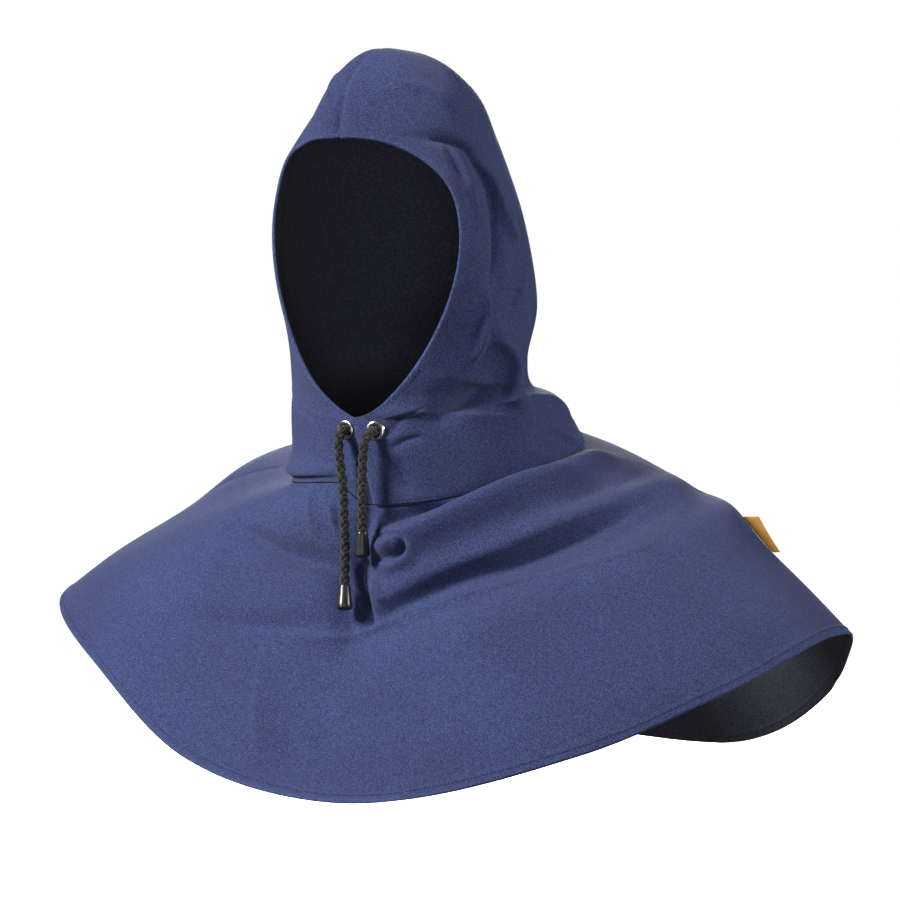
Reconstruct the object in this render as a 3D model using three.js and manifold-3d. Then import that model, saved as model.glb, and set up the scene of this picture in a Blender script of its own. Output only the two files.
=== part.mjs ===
// Welding hood: a cotton head hood with a face opening, a laced front and a draped shoulder cape.
// Millimetres, +Z up. The wearer looks along -Y and the wearer's left is +X.
// Shapes are worked out in the neck frame, whose z is 0 at the front of the neck seam, and the
// group then puts the origin on the inside of the crown, where the wearer's head carries the hood.
import * as THREE from 'three';
import { mergeVertices } from 'three/addons/utils/BufferGeometryUtils.js';
import Module from 'manifold-3d';

// Cloth
const CLOTH = 1.5; // wall of one layer, with its turned allowances
const HEM = 3.0; // turned edge of the hood, two layers with the lacing's tunnel between them
const HEM_WIDTH = 10;
const CAPE_HEM = 2.4; // turned edge of the cape
const CAPE_HEM_WIDTH = 9;
const CLEARANCE = 0.3; // between pieces that meet
const LAP_GAP = 0.7; // between the two fronts
const NECK_GAP = 1.0; // between the hood's bottom edge and the cape

// Neck seam, the closed line that joins the hood to the cape
const NECK_EASE = 13; // how far it lies outside the cheeks, on each side
const NECK_DEPTH = 224;
const NECK_RISE = 46; // how far the seam climbs from the throat to the nape
const RIGHT_LIFT = 14; // how far the seam is pulled up on the wearer's right of the lacing
// The pull starts at one angle, reaches its full lift over a ramp, and fades before the other, in degrees
const LIFT_START = 8;
const LIFT_RAMP = 17;
const LIFT_END = -64;
const LIFT_FADE = 60;

// Hood
const CHIN_HEIGHT = 58; // from the seam to the bottom of the face opening
const OPENING_WIDTH = 152;
const OPENING_HEIGHT = 189;
const RIM_RECESS = 17; // how far the rim's sides lie behind its chin and brow
const CROWN_RISE = 62; // from the brow to the peak
const CHEEK_EASE = 9; // how far the cheeks bulge past the rim, on each side
const HOOD_DEPTH = 170; // from the front plane to the back of the head
const SEAM_SWAY = 12; // how far the brow end of the crown seam leans to the wearer's right

// Front closure, the wearer's left front over the right one
const LAP_SLANT = 18; // how far the free edge drifts to the left by the neck seam
const LAP_BEND = 0.7; // below 1 it drifts most near the chin
const UNDERLAP = 5; // how far the right front reaches under the left one
const FACING_WIDTH = 34; // doubled cloth along the front edges
const LAP_FLAT = 16; // how far past the underlap the left front stands off, before it slopes down
const LAP_SLOPE = 30; // length of that slope
const LAP_TOP = 0.27; // level at which the left front no longer stands off

// Lacing
const EYELET_SPACING = 24;
const EYELET_SHIFT = 6.5; // the pair's middle, to the wearer's left of the face
const EYELET_DROP = 7.5; // below the bottom of the opening
const EYELET_HOLE = 7.6;
const EYELET_FLANGE = 13.3;
const EYELET_WALL = 0.5;
const EYELET_HEIGHT = 1.2; // flange above the cloth
const TUNNEL_DEPTH = 1.7; // from the outside of the hem into its tunnel
const CORD_DIAMETER = 6;
const CORD_SIDES = 10;
const CORD_STEP = 2.4; // in diameters
const CORD_END_LENGTH = 17.5;
const CORD_END_TOP = 7.6;
const CORD_END_BOTTOM = 11;

// Cape
const CAPE_WIDTH = 600;
const CAPE_DEPTH = 430;
const CAPE_SHIFT = 25; // the hem's middle, behind the neck's middle
const CAPE_DROP = 187; // from the seam to the hem, at the front
const SHOULDER_SEAM = 108; // degrees from the front to the seam between the cape's two halves

// Folds
const FOLD_WIDTH = 20;
const FOLD_DEPTH = 12;
// Shares of a panel over which its folds fade out towards its sewn edges
const FADE = { seam: 0.08, neck: 0.03, brow: 0.04, cape: 0.06 };

// Label, a folded tab caught in the left shoulder seam
const LABEL_LENGTH = 27;
const LABEL_REACH = 10;
const LABEL_WALL = 1.2;
const LABEL_PLACE = 0.662; // share of the way from the neck seam to the hem
const LABEL_LEAN = 37; // degrees from square to the cloth, towards the hem
const LABEL_CURL = 0.3; // how far its free edge turns to the back, of its reach
const LABEL_SLANT = 0.55; // share of its reach that the seam takes in by its lower end

// Mesh steps
const HOOD_STEPS = { across: 17, up: 30 };
const CAPE_FRONT_STEPS = { around: 46, down: 14 };
const CAPE_BACK_STEPS = { around: 26, down: 12 };
const ROUND_STEPS = 20;

// Sections of the hood, from the neck seam up over the head and down to the brow. Each one runs
// from the front edge or the rim to the centre seam. level: share of the front edge and rim.
// back: the seam's place behind the front plane, of HOOD_DEPTH. rise: its height, of the hood's.
// width: half width, of the hood's own. sway: lean to the wearer's right, of SEAM_SWAY.
// point: how pointed the section is at the seam. The ends at the neck and brow follow the sizes.
const HOOD_SECTIONS = [
  { name: 'collar', level: 0.10, back: 1.19, rise: 0.205, width: 1.01, sway: 0, point: 1 },
  { name: 'nape', level: 0.20, back: 0.88, rise: 0.275, width: 1.00, sway: 0, point: 1 },
  { name: 'skull base', level: 0.28, back: 0.86, rise: 0.335, width: 0.99, sway: 0, point: 1 },
  { name: 'ear', level: 0.40, back: 0.98, rise: 0.453, width: 1.00, sway: 0, point: 1 },
  { name: 'back', level: 0.50, back: 0.96, rise: 0.583, width: 0.98, sway: 0, point: 1 },
  { name: 'temple', level: 0.60, back: 0.90, rise: 0.718, width: 0.93, sway: 0, point: 1 },
  { name: 'upper back', level: 0.70, back: 0.76, rise: 0.850, width: 0.86, sway: 0, point: 1 },
  { name: 'crown', level: 0.80, back: 0.60, rise: 0.945, width: 0.74, sway: 0.10, point: 1 },
  { name: 'peak', level: 0.88, back: 0.37, rise: 0.993, width: 0.58, sway: 0.25, point: 1.05 },
  { name: 'peak front', level: 0.94, back: 0.15, rise: 0.974, width: 0.36, sway: 0.55, point: 1.1 },
  { name: 'forehead', level: 0.97, back: 0.05, rise: 0.909, width: 0.21, sway: 0.83, point: 1.1 },
];
const CHIN_LEVEL = 0.20; // where the front edges end and the rim begins
const RIM_ROUNDNESS = 0.75; // below 1 the rim is fuller than an ellipse
const RIM_HIGH = 0.63; // below 1 the opening is widest above its middle
const RIM_RECESS_SHAPE = 1.2;

// Directions of the cape, by the angle from the front towards the wearer's left.
// reach: the hem's distance, of the hem's ellipse. drop: the hem's depth, of CAPE_DROP.
// spread and fall: exponents of how soon the cloth goes out and how late it goes down.
const CAPE_DIRECTIONS = [
  { angle: -160, reach: 1.00, drop: 0.99, spread: 1.20, fall: 1.20 },
  { angle: -120, reach: 1.02, drop: 0.70, spread: 1.10, fall: 1.60 },
  { angle: -90, reach: 1.04, drop: 0.45, spread: 1.00, fall: 1.45 },
  { angle: -67, reach: 1.03, drop: 0.45, spread: 1.05, fall: 1.35 },
  { angle: -40, reach: 1.015, drop: 0.61, spread: 1.10, fall: 1.30 },
  { angle: -18, reach: 1.00, drop: 0.90, spread: 0.85, fall: 1.12 },
  { angle: 5, reach: 1.00, drop: 1.00, spread: 0.70, fall: 1.05 },
  { angle: 40, reach: 1.00, drop: 0.80, spread: 1.20, fall: 1.20 },
  { angle: 60, reach: 0.99, drop: 0.62, spread: 1.20, fall: 1.40 },
  { angle: 90, reach: 0.97, drop: 0.45, spread: 1.05, fall: 1.65 },
  { angle: 113, reach: 0.97, drop: 0.54, spread: 0.95, fall: 1.90 },
  { angle: 130, reach: 0.97, drop: 0.78, spread: 1.00, fall: 1.75 },
  { angle: 150, reach: 0.98, drop: 1.00, spread: 1.20, fall: 1.20 },
  { angle: 180, reach: 1.00, drop: 1.05, spread: 1.30, fall: 1.20 },
];

// Folds. Each runs from one place to another on its panel, bowed sideways, with a soft ridge
// (height above 0) or valley. bow and the two widths are of FOLD_WIDTH, heights of FOLD_DEPTH,
// droop moves the ridge down by that share of its height.
// On the hood a place is [share from the rim to the seam, level].
const LEFT_FOLDS = [
  { name: 'brow roll', from: [0.10, 0.87], to: [0.20, 0.66], bow: 0.3, low: 0.35, high: 0.4, height: -0.33 },
  { name: 'temple valley', from: [0.20, 0.64], to: [0.19, 0.45], bow: 0, low: 0.35, high: 0.35, height: -0.33 },
  { name: 'temple ridge', from: [0.24, 0.70], to: [0.33, 0.53], bow: 0, low: 0.4, high: 0.4, height: 0.33 },
  { name: 'ear ridge', from: [0.16, 0.46], to: [0.20, 0.34], bow: 0, low: 0.35, high: 0.35, height: 0.33 },
  { name: 'jaw ridge', from: [0.20, 0.40], to: [0.47, 0.26], bow: 0, low: 0.35, high: 0.4, height: 0.42 },
  { name: 'jaw hollow', from: [0.30, 0.27], to: [0.26, 0.20], bow: 0, low: 1.3, high: 1.3, height: -1.0 },
  { name: 'nape roll', from: [0.44, 0.26], to: [0.47, 0.16], bow: 0.2, low: 0.4, high: 0.4, height: 0.5 },
  { name: 'collar roll', from: [0.60, 0.14], to: [1.00, 0.12], bow: 0, low: 0.5, high: 0.5, height: 0.33 },
];
const RIGHT_FOLDS = [
  { name: 'hem roll', from: [0.10, 0.045], to: [0.50, 0.05], bow: 0, low: 0.35, high: 0.45, height: 0.4, droop: 0.8 },
  { name: 'crown fold', from: [0.55, 0.97], to: [0.35, 0.84], bow: 0.2, low: 0.4, high: 0.4, height: 0.2 },
  { name: 'jaw hollow', from: [0.45, 0.30], to: [0.55, 0.22], bow: 0, low: 1.2, high: 1.2, height: -0.67 },
  { name: 'collar roll', from: [0.60, 0.14], to: [1.00, 0.12], bow: 0, low: 0.5, high: 0.5, height: 0.33 },
];
// On the cape a place is [angle, share from the neck seam to the hem].
const CAPE_FOLDS = [
  { name: 'shoulder ridge', from: [12, 0.17], to: [104, 0.09], bow: -0.4, low: 0.65, high: 0.9, height: 1.25 },
  { name: 'shoulder valley', from: [10, 0.43], to: [92, 0.36], bow: -0.7, low: 1.0, high: 0.5, height: -1.1 },
  { name: 'throat hollow', from: [6, 0.12], to: [5, 0.52], bow: 0, low: 0.8, high: 0.9, height: -1.0 },
  { name: 'centre tuck', from: [8, 0.22], to: [12, 0.44], bow: 0.15, low: 0.25, high: 0.3, height: -0.67 },
  { name: 'breast fold', from: [-36, 0.33], to: [2, 0.27], bow: -0.15, low: 0.5, high: 0.45, height: -0.42 },
  { name: 'lower breast fold', from: [-44, 0.50], to: [-22, 0.45], bow: 0, low: 0.6, high: 0.6, height: -0.33 },
  { name: 'collar swell', from: [-30, 0.16], to: [-8, 0.17], bow: 0, low: 0.8, high: 0.8, height: 0.33 },
  { name: 'arm ridge', from: [50, 0.27], to: [112, 0.38], bow: 0, low: 0.6, high: 0.7, height: 0.33 },
  { name: 'shoulder point', from: [88, 0.55], to: [124, 0.55], bow: 0, low: 1.1, high: 0.9, height: 0.58 },
  { name: 'right shoulder swell', from: [-76, 0.27], to: [-150, 0.27], bow: 0, low: 2.0, high: 1.7, height: 1.17 },
  { name: 'right arm swell', from: [-70, 0.75], to: [-40, 0.80], bow: 0, low: 1.5, high: 1.5, height: 0.25 },
  { name: 'left arm fold', from: [54, 0.50], to: [52, 0.95], bow: 0.1, low: 0.4, high: 0.4, height: 0.17 },
  { name: 'back dip', from: [150, 0.35], to: [215, 0.35], bow: 0, low: 1.5, high: 1.5, height: -0.42 },
  { name: 'back flute', from: [122, 0.72], to: [125, 1.0], bow: 0, low: 0.8, high: 0.8, height: 0.58 },
  { name: 'back flute valley', from: [153, 0.70], to: [155, 1.0], bow: 0, low: 0.8, high: 0.8, height: -0.58 },
];

// Routes of the free cords, from the eyelet's mouth: right is the wearer's right eyelet.
// Each point is [to the wearer's left, forward, down] from the eyelet's middle.
const CORD_ROUTES = {
  right: [
    [0.0, -0.9, 0.0], [0.1, 1.5, 0.1], [0.4, 5.0, 0.8], [0.9, 8.5, 2.9], [1.6, 11.3, 6.6],
    [2.4, 12.8, 11.5], [3.4, 13.3, 17.5], [4.6, 13.4, 25.0], [5.8, 13.5, 33.0], [6.8, 13.7, 43.0],
    [7.6, 14.1, 54.0], [8.5, 15.0, 66.0], [9.7, 16.7, 78.5], [11.2, 19.0, 90.3], [12.9, 21.9, 102.0],
  ],
  left: [
    [0.0, -0.9, 0.0], [-0.1, 1.5, 0.1], [-0.3, 5.0, 0.8], [-0.7, 8.4, 2.9], [-1.1, 11.1, 6.6],
    [-1.5, 12.5, 11.5], [-1.8, 13.0, 17.5], [-2.0, 13.1, 25.0], [-2.1, 13.2, 32.0], [-2.1, 13.3, 39.0],
    [-2.1, 13.4, 46.0], [-2.1, 13.5, 53.0], [-2.0, 13.6, 60.0], [-2.0, 13.7, 66.5],
  ],
};

// Derived sizes
const FRONT = NECK_DEPTH / 2;
const HOOD_HALF = OPENING_WIDTH / 2 + CHEEK_EASE;
const NECK_HALF = HOOD_HALF + NECK_EASE;
const BROW_HEIGHT = CHIN_HEIGHT + OPENING_HEIGHT;
const HOOD_HEIGHT = BROW_HEIGHT + CROWN_RISE;
const SEAT_LEVEL = 0.84; // the section whose seam rests on the head
// Lengths that turn a place on a panel into a distance, for the folds
const PANEL_ACROSS = HOOD_HALF + HOOD_DEPTH * 0.62;
const PANEL_UP = CHIN_HEIGHT + OPENING_HEIGHT * 1.45;
const CAPE_PER_DEGREE = (Math.PI / 180) * (NECK_HALF + CAPE_WIDTH / 2) * 0.42;
const CAPE_LENGTH = Math.hypot(CAPE_WIDTH / 2 - NECK_HALF, CAPE_DROP / 2);

const clamp = THREE.MathUtils.clamp;
const radians = THREE.MathUtils.degToRad;
const ease = (t) => THREE.MathUtils.smoothstep(t, 0, 1);
const cloth = (color) => new THREE.MeshStandardMaterial({ color, roughness: 0.85, metalness: 0 });
const MATERIALS = {
  navy: cloth(0x2f3c66),
  navyLight: cloth(0x35437a),
  tan: cloth(0xa8722a),
  cord: cloth(0x17171a),
  nickel: new THREE.MeshStandardMaterial({ color: 0xc9c9c7, roughness: 0.25, metalness: 1 }),
  plastic: new THREE.MeshStandardMaterial({ color: 0x2a2a2d, roughness: 0.4, metalness: 0 }),
};

// A smooth curve through a table's column, by finite-difference slopes. A period joins its ends.
function columnAt(rows, key, column, x, period = 0) {
  let table = rows;
  let at = x;
  if (period) {
    const first = rows[0];
    const second = rows[1];
    const last = rows[rows.length - 1];
    table = [
      { ...last, [key]: last[key] - period },
      ...rows,
      { ...first, [key]: first[key] + period },
      { ...second, [key]: second[key] + period },
    ];
    at = THREE.MathUtils.euclideanModulo(x - first[key], period) + first[key];
  }
  const slope = (i) => (table[i + 1][column] - table[i][column]) / (table[i + 1][key] - table[i][key]);
  const span = (i) => table[i + 1][key] - table[i][key];
  const tangent = (i) => {
    if (i === 0) return slope(0);
    if (i === table.length - 1) return slope(i - 1);
    return (slope(i - 1) * span(i) + slope(i) * span(i - 1)) / (span(i - 1) + span(i));
  };
  let i = 0;
  while (i < table.length - 2 && at >= table[i + 1][key]) i += 1;
  const h = span(i);
  const t = (at - table[i][key]) / h;
  const t2 = t * t;
  const t3 = t2 * t;
  return table[i][column] * (2 * t3 - 3 * t2 + 1) + h * tangent(i) * (t3 - 2 * t2 + t)
    + table[i + 1][column] * (3 * t2 - 2 * t3) + h * tangent(i + 1) * (t3 - t2);
}

// The neck seam: an ellipse that climbs to the nape and is pulled up right of the lacing.
function neckLift(angle) {
  const wrapped = THREE.MathUtils.euclideanModulo(angle + 180, 360) - 180;
  return RIGHT_LIFT * ease((LIFT_START - wrapped) / LIFT_RAMP) * ease((wrapped - LIFT_END) / LIFT_FADE);
}

function neckPoint(angle) {
  const turn = radians(angle);
  const climb = (NECK_RISE * (1 - Math.cos(turn))) / 2 + neckLift(angle);
  return new THREE.Vector3(NECK_HALF * Math.sin(turn), -FRONT * Math.cos(turn), climb);
}

// The front edge below the chin and the rim of the face opening above it. side: 1 left, -1 right.
function rimPoint(side, level) {
  const turn = Math.PI * clamp((level - CHIN_LEVEL) / (1 - CHIN_LEVEL), 0, 1);
  const below = clamp(1 - level / CHIN_LEVEL, 0, 1);
  const sine = Math.sin(turn);
  const under = side < 0 ? UNDERLAP * (1 - ease(turn / radians(25))) : 0;
  const sway = SEAM_SWAY * ease((turn / Math.PI - 0.6) / 0.4);
  const x = (side * OPENING_WIDTH * Math.abs(sine) ** RIM_ROUNDNESS) / 2 + LAP_SLANT * below ** LAP_BEND + under - sway;
  const round = Math.sqrt(1 - Math.min(1, (x / NECK_HALF) ** 2));
  if (below > 0) {
    const foot = (NECK_RISE * (1 - round)) / 2;
    return new THREE.Vector3(x, -FRONT * round, THREE.MathUtils.lerp(CHIN_HEIGHT, foot, below));
  }
  const z = CHIN_HEIGHT + OPENING_HEIGHT * ((1 - Math.cos(turn)) / 2) ** RIM_HIGH;
  return new THREE.Vector3(x, -FRONT + RIM_RECESS * Math.abs(sine) ** RIM_RECESS_SHAPE, z);
}

// The centre seam and the half width of a section. Both ends are tied to the neck and the brow.
const SEAM_ROWS = [
  { level: 0, y: FRONT, z: NECK_RISE, width: NECK_HALF, x: 0, point: 1 },
  ...HOOD_SECTIONS.map((row) => ({
    level: row.level,
    y: -FRONT + row.back * HOOD_DEPTH,
    z: row.rise * HOOD_HEIGHT,
    width: row.width * THREE.MathUtils.lerp(NECK_HALF, HOOD_HALF, ease(row.level / 0.25)),
    x: -row.sway * SEAM_SWAY,
    point: row.point,
  })),
  { level: 1, y: -FRONT, z: BROW_HEIGHT, width: 0, x: -SEAM_SWAY, point: 1 },
];
const seamAt = (column, level) => columnAt(SEAM_ROWS, 'level', column, level);

// A section of the hood: an arc of an ellipse from the rim out to the cheek and round to the seam.
function sectionOf(side, level) {
  const front = rimPoint(side, level);
  const seam = new THREE.Vector3(seamAt('x', level), seamAt('y', level), seamAt('z', level));
  const middle = -SEAM_SWAY * ease((level - 0.88) / 0.12);
  const reach = side * Math.max(seamAt('width', level), 0.01) + middle - seam.x;
  const point = seamAt('point', level);
  const ratio = clamp((front.x - seam.x) / reach, -0.999, 0.999);
  const start = Math.acos(Math.sign(ratio) * Math.abs(ratio) ** (1 / point));
  return { front, seam, reach, point, start };
}

function hoodBase(side, across, level) {
  const { front, seam, reach, point, start } = sectionOf(side, level);
  const turn = -start + (Math.PI / 2 + start) * across;
  const cosine = Math.cos(turn);
  const along = (Math.sin(turn) + Math.sin(start)) / (1 + Math.sin(start));
  const p = front.clone().lerp(seam, along);
  p.x = seam.x + reach * Math.sign(cosine) * Math.abs(cosine) ** point;
  const angle = side * THREE.MathUtils.radToDeg(turn + Math.PI / 2);
  p.z += neckLift(angle) * clamp(1 - level / CHIN_LEVEL, 0, 1);
  return p;
}

// The share across a section at which it passes a given x, near the front.
function acrossAt(side, level, x) {
  const { seam, reach, start } = sectionOf(side, level);
  return (start - Math.acos(clamp((x - seam.x) / reach, -1, 1))) / (Math.PI / 2 + start);
}

// The sum of the folds at a place on a panel, as a height and a droop.
function foldAt(folds, place, scale) {
  let height = 0;
  let droop = 0;
  for (const fold of folds) {
    const from = new THREE.Vector2(fold.from[0] * scale[0], fold.from[1] * scale[1]);
    const to = new THREE.Vector2(fold.to[0] * scale[0], fold.to[1] * scale[1]);
    const here = new THREE.Vector2(place[0] * scale[0], place[1] * scale[1]).sub(from);
    const length = from.distanceTo(to);
    const along = to.sub(from).divideScalar(length);
    const t = here.dot(along) / length;
    const inside = clamp(t, 0, 1);
    const bow = fold.bow * FOLD_WIDTH * 4 * inside * (1 - inside);
    const off = along.cross(here) - bow;
    const width = (off > 0 ? fold.low : fold.high) * FOLD_WIDTH;
    const past = (Math.max(-t, 0) + Math.max(t - 1, 0)) * length;
    const blunt = ((fold.low + fold.high) / 2) * FOLD_WIDTH;
    const swell = 0.35 + 0.65 * Math.sin(Math.PI * inside) ** 0.6;
    const share = Math.exp(-((off / width) ** 2) - (past / blunt) ** 2) * swell;
    height += share * fold.height * FOLD_DEPTH;
    droop += share * fold.height * FOLD_DEPTH * (fold.droop || 0);
  }
  return { height, droop };
}

// The outward normal of a surface, from two short steps on it.
function normalOf(surface, u, v, facing, limits = [0, 1, 0, 1]) {
  const STEP = 0.004;
  const [u0, u1, v0, v1] = limits;
  const du = surface(Math.min(u + STEP * (u1 - u0), u1), v).sub(surface(Math.max(u - STEP * (u1 - u0), u0), v));
  const dv = surface(u, Math.min(v + STEP * (v1 - v0), v1)).sub(surface(u, Math.max(v - STEP * (v1 - v0), v0)));
  return du.cross(dv).multiplyScalar(facing).normalize();
}

// The outside of a hood panel, with its folds and the step where the left front laps the right.
function hoodPoint(side, across, level) {
  const base = hoodBase(side, across, level);
  const calm = ease((1 - across) / FADE.seam) * ease(level / FADE.neck) * ease((1 - level) / FADE.brow);
  const folds = side > 0 ? LEFT_FOLDS : RIGHT_FOLDS;
  const { height, droop } = foldAt(folds, [across, level], [PANEL_ACROSS, PANEL_UP]);
  let lap = 0;
  if (side > 0) {
    const edge = rimPoint(side, level).x;
    const near = across < 0.5 ? ease(1 - (base.x - edge - UNDERLAP - LAP_FLAT) / LAP_SLOPE) : 0;
    lap = (HEM + LAP_GAP) * near * ease((LAP_TOP - level) / 0.06);
  }
  const amount = height * calm + lap;
  if (Math.abs(amount) > 1e-6) {
    const normal = normalOf((u, v) => hoodBase(side, u, v), across, Math.min(level, 0.99), side);
    base.addScaledVector(normal, amount);
  }
  base.z += NECK_GAP * (1 - ease(level / 0.05)) - droop * calm;
  return base;
}

function capeBase(angle, share) {
  const top = neckPoint(angle);
  const row = (column) => columnAt(CAPE_DIRECTIONS, 'angle', column, angle, 360);
  const turn = radians(angle);
  const reach = row('reach');
  const hem = new THREE.Vector3(
    (CAPE_WIDTH / 2) * reach * Math.sin(turn),
    CAPE_SHIFT - (CAPE_DEPTH / 2) * reach * Math.cos(turn),
    -CAPE_DROP * row('drop'),
  );
  const out = 1 - (1 - share) ** row('spread');
  const p = top.clone().lerp(hem, out);
  p.z = THREE.MathUtils.lerp(top.z, hem.z, share ** row('fall'));
  return p;
}

const CAPE_LIMITS = [-360, 360, 0, 1];
function capePoint(angle, share) {
  const base = capeBase(angle, share);
  let height = 0;
  for (const turn of [-360, 0, 360]) {
    height += foldAt(CAPE_FOLDS, [angle + turn, share], [CAPE_PER_DEGREE, CAPE_LENGTH]).height;
  }
  const normal = normalOf(capeBase, angle, share, -1, CAPE_LIMITS);
  return base.addScaledVector(normal, height * ease(share / FADE.cape));
}

// A closed wall between two grids of points, outer and inner, each [column][row].
function wallGeometry(outer, inner) {
  const positions = [];
  const indices = [];
  const known = new Map();
  const vertex = (p) => {
    const tag = [p.x, p.y, p.z].map((c) => c.toFixed(3)).join();
    if (!known.has(tag)) {
      known.set(tag, positions.length / 3);
      positions.push(p.x, p.y, p.z);
    }
    return known.get(tag);
  };
  const triangle = (a, b, c) => {
    if (a !== b && b !== c && c !== a) indices.push(a, b, c);
  };
  const quad = (a, b, c, d) => {
    triangle(a, b, c);
    triangle(a, c, d);
  };
  const out = outer.map((column) => column.map(vertex));
  const back = inner.map((column) => column.map(vertex));
  const columns = out.length;
  const rows = out[0].length;
  for (let i = 0; i + 1 < columns; i += 1) {
    for (let j = 0; j + 1 < rows; j += 1) {
      quad(out[i][j], out[i + 1][j], out[i + 1][j + 1], out[i][j + 1]);
      quad(back[i][j], back[i][j + 1], back[i + 1][j + 1], back[i + 1][j]);
    }
    quad(out[i][0], back[i][0], back[i + 1][0], out[i + 1][0]);
    quad(out[i + 1][rows - 1], back[i + 1][rows - 1], back[i][rows - 1], out[i][rows - 1]);
  }
  for (let j = 0; j + 1 < rows; j += 1) {
    quad(out[0][j + 1], back[0][j + 1], back[0][j], out[0][j]);
    quad(out[columns - 1][j], back[columns - 1][j], back[columns - 1][j + 1], out[columns - 1][j + 1]);
  }
  const geometry = new THREE.BufferGeometry();
  geometry.setAttribute('position', new THREE.Float32BufferAttribute(positions, 3));
  geometry.setIndex(indices);
  geometry.computeVertexNormals();
  return geometry;
}

const stepsOf = (count, place) => Array.from({ length: count + 1 }, (_, i) => place(i / count));

// The columns of a hood panel: two close to the rim for its hem, the others closer at the front.
function hoodColumns(side, level) {
  const { front, seam } = sectionOf(side, level);
  const length = Math.max(front.distanceTo(seam) * 1.25, 1);
  const hem = Math.min(HEM_WIDTH / length, 0.3);
  const last = HOOD_STEPS.across - 2;
  return [0, hem * 0.94, ...stepsOf(last, (t) => THREE.MathUtils.lerp(hem * 1.15, 1, t ** 1.2))];
}

function hoodPanel(side) {
  const rim = stepsOf(80, (t) => hoodPoint(side, 0, THREE.MathUtils.lerp(CHIN_LEVEL, 1, t)));
  const outer = [];
  const inner = [];
  for (let i = 0; i <= HOOD_STEPS.across; i += 1) {
    outer.push([]);
    inner.push([]);
    for (let j = 0; j <= HOOD_STEPS.up; j += 1) {
      const level = j / HOOD_STEPS.up;
      const across = j === HOOD_STEPS.up ? 0.5 : hoodColumns(side, level)[i];
      const p = hoodPoint(side, across, level);
      const normal = normalOf((u, v) => hoodPoint(side, u, v), across, Math.min(level, 0.985), side);
      if (across === 1 || j === HOOD_STEPS.up) normal.setX(0).normalize();
      if (j === 0) normal.setZ(0).normalize();
      const toRim = Math.min(...rim.map((q) => q.distanceTo(p)));
      const toFront = level <= CHIN_LEVEL ? Math.abs(p.x - rimPoint(side, level).x) : FACING_WIDTH;
      const turned = toRim < HEM_WIDTH || (toFront < FACING_WIDTH && Math.abs(p.x) < NECK_HALF / 2);
      const q = p.clone().addScaledVector(normal, -(turned ? HEM : CLOTH));
      if (level > CHIN_LEVEL + 0.1 || across > 0.5) {
        const limit = seamAt('x', level) + (side * CLEARANCE) / 2;
        for (const point of [p, q]) point.x = side * Math.max(side * point.x, side * limit);
      }
      outer[i].push(p);
      inner[i].push(q);
    }
  }
  return side > 0 ? wallGeometry(outer, inner) : wallGeometry(outer.reverse(), inner.reverse());
}

function capePanel(start, end, steps) {
  const half = THREE.MathUtils.radToDeg(CLEARANCE / 2 / NECK_HALF);
  const angles = stepsOf(steps.around, (t) => THREE.MathUtils.lerp(start + half, end - half, t));
  const turned = 1 - CAPE_HEM_WIDTH / CAPE_LENGTH;
  const shares = [...stepsOf(steps.down - 2, (t) => t * (turned - 0.01)), turned, 1];
  const outer = [];
  const inner = [];
  for (const angle of angles) {
    const points = shares.map((share) => capePoint(angle, share));
    outer.push(points);
    inner.push(points.map((p, j) => {
      const normal = normalOf(capePoint, angle, shares[j], -1, CAPE_LIMITS);
      if (j === 0) normal.set(0, 0, 1);
      return p.clone().addScaledVector(normal, -(shares[j] >= turned ? CAPE_HEM : CLOTH));
    }));
  }
  return wallGeometry(outer.reverse(), inner.reverse());
}

// Where an eyelet sits: its middle on the cloth, and the turn that puts its axis along the normal.
function eyeletSeat(side) {
  const x = EYELET_SHIFT + (side * EYELET_SPACING) / 2;
  const lift = neckLift(THREE.MathUtils.radToDeg(Math.atan2(x, FRONT)));
  const level = CHIN_LEVEL * (1 - EYELET_DROP / (CHIN_HEIGHT - lift));
  const across = acrossAt(side, level, x);
  const position = hoodPoint(side, across, level);
  const normal = normalOf((u, v) => hoodPoint(side, u, v), across, level, side);
  const quaternion = new THREE.Quaternion().setFromUnitVectors(new THREE.Vector3(0, 1, 0), normal);
  return { position, quaternion, normal };
}

// A pressed ring: a domed flange on the cloth and a short barrel down into the tunnel.
function eyeletGeometry() {
  const hole = EYELET_HOLE / 2;
  const flange = EYELET_FLANGE / 2;
  const barrel = hole + EYELET_WALL;
  const top = CLEARANCE + EYELET_HEIGHT;
  const profile = [
    [hole, -TUNNEL_DEPTH + CLEARANCE], [barrel, -TUNNEL_DEPTH + CLEARANCE], [barrel, CLEARANCE],
    [flange, CLEARANCE], [flange, CLEARANCE + EYELET_HEIGHT * 0.35], [flange - EYELET_WALL, top - 0.2],
    [(flange + barrel) / 2, top], [barrel, top - 0.15], [hole, top - 0.6], [hole, -TUNNEL_DEPTH + CLEARANCE],
  ];
  return new THREE.LatheGeometry(profile.map(([r, h]) => new THREE.Vector2(r, h)), ROUND_STEPS);
}

// A bell on the cord's end, with a rounded foot. Its top is at 0 and it hangs down.
function cordEndGeometry() {
  const top = CORD_END_TOP / 2;
  const foot = CORD_END_BOTTOM / 2;
  const profile = [
    [0, -CORD_END_LENGTH], [foot * 0.5, -CORD_END_LENGTH * 0.985], [foot * 0.85, -CORD_END_LENGTH * 0.93],
    [foot, -CORD_END_LENGTH * 0.84], [foot * 0.97, -CORD_END_LENGTH * 0.76],
    [top, -CORD_END_LENGTH * 0.06], [top * 0.9, 0], [0, 0],
  ];
  return new THREE.LatheGeometry(profile.map(([r, h]) => new THREE.Vector2(r, h)), ROUND_STEPS - 4);
}

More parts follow.
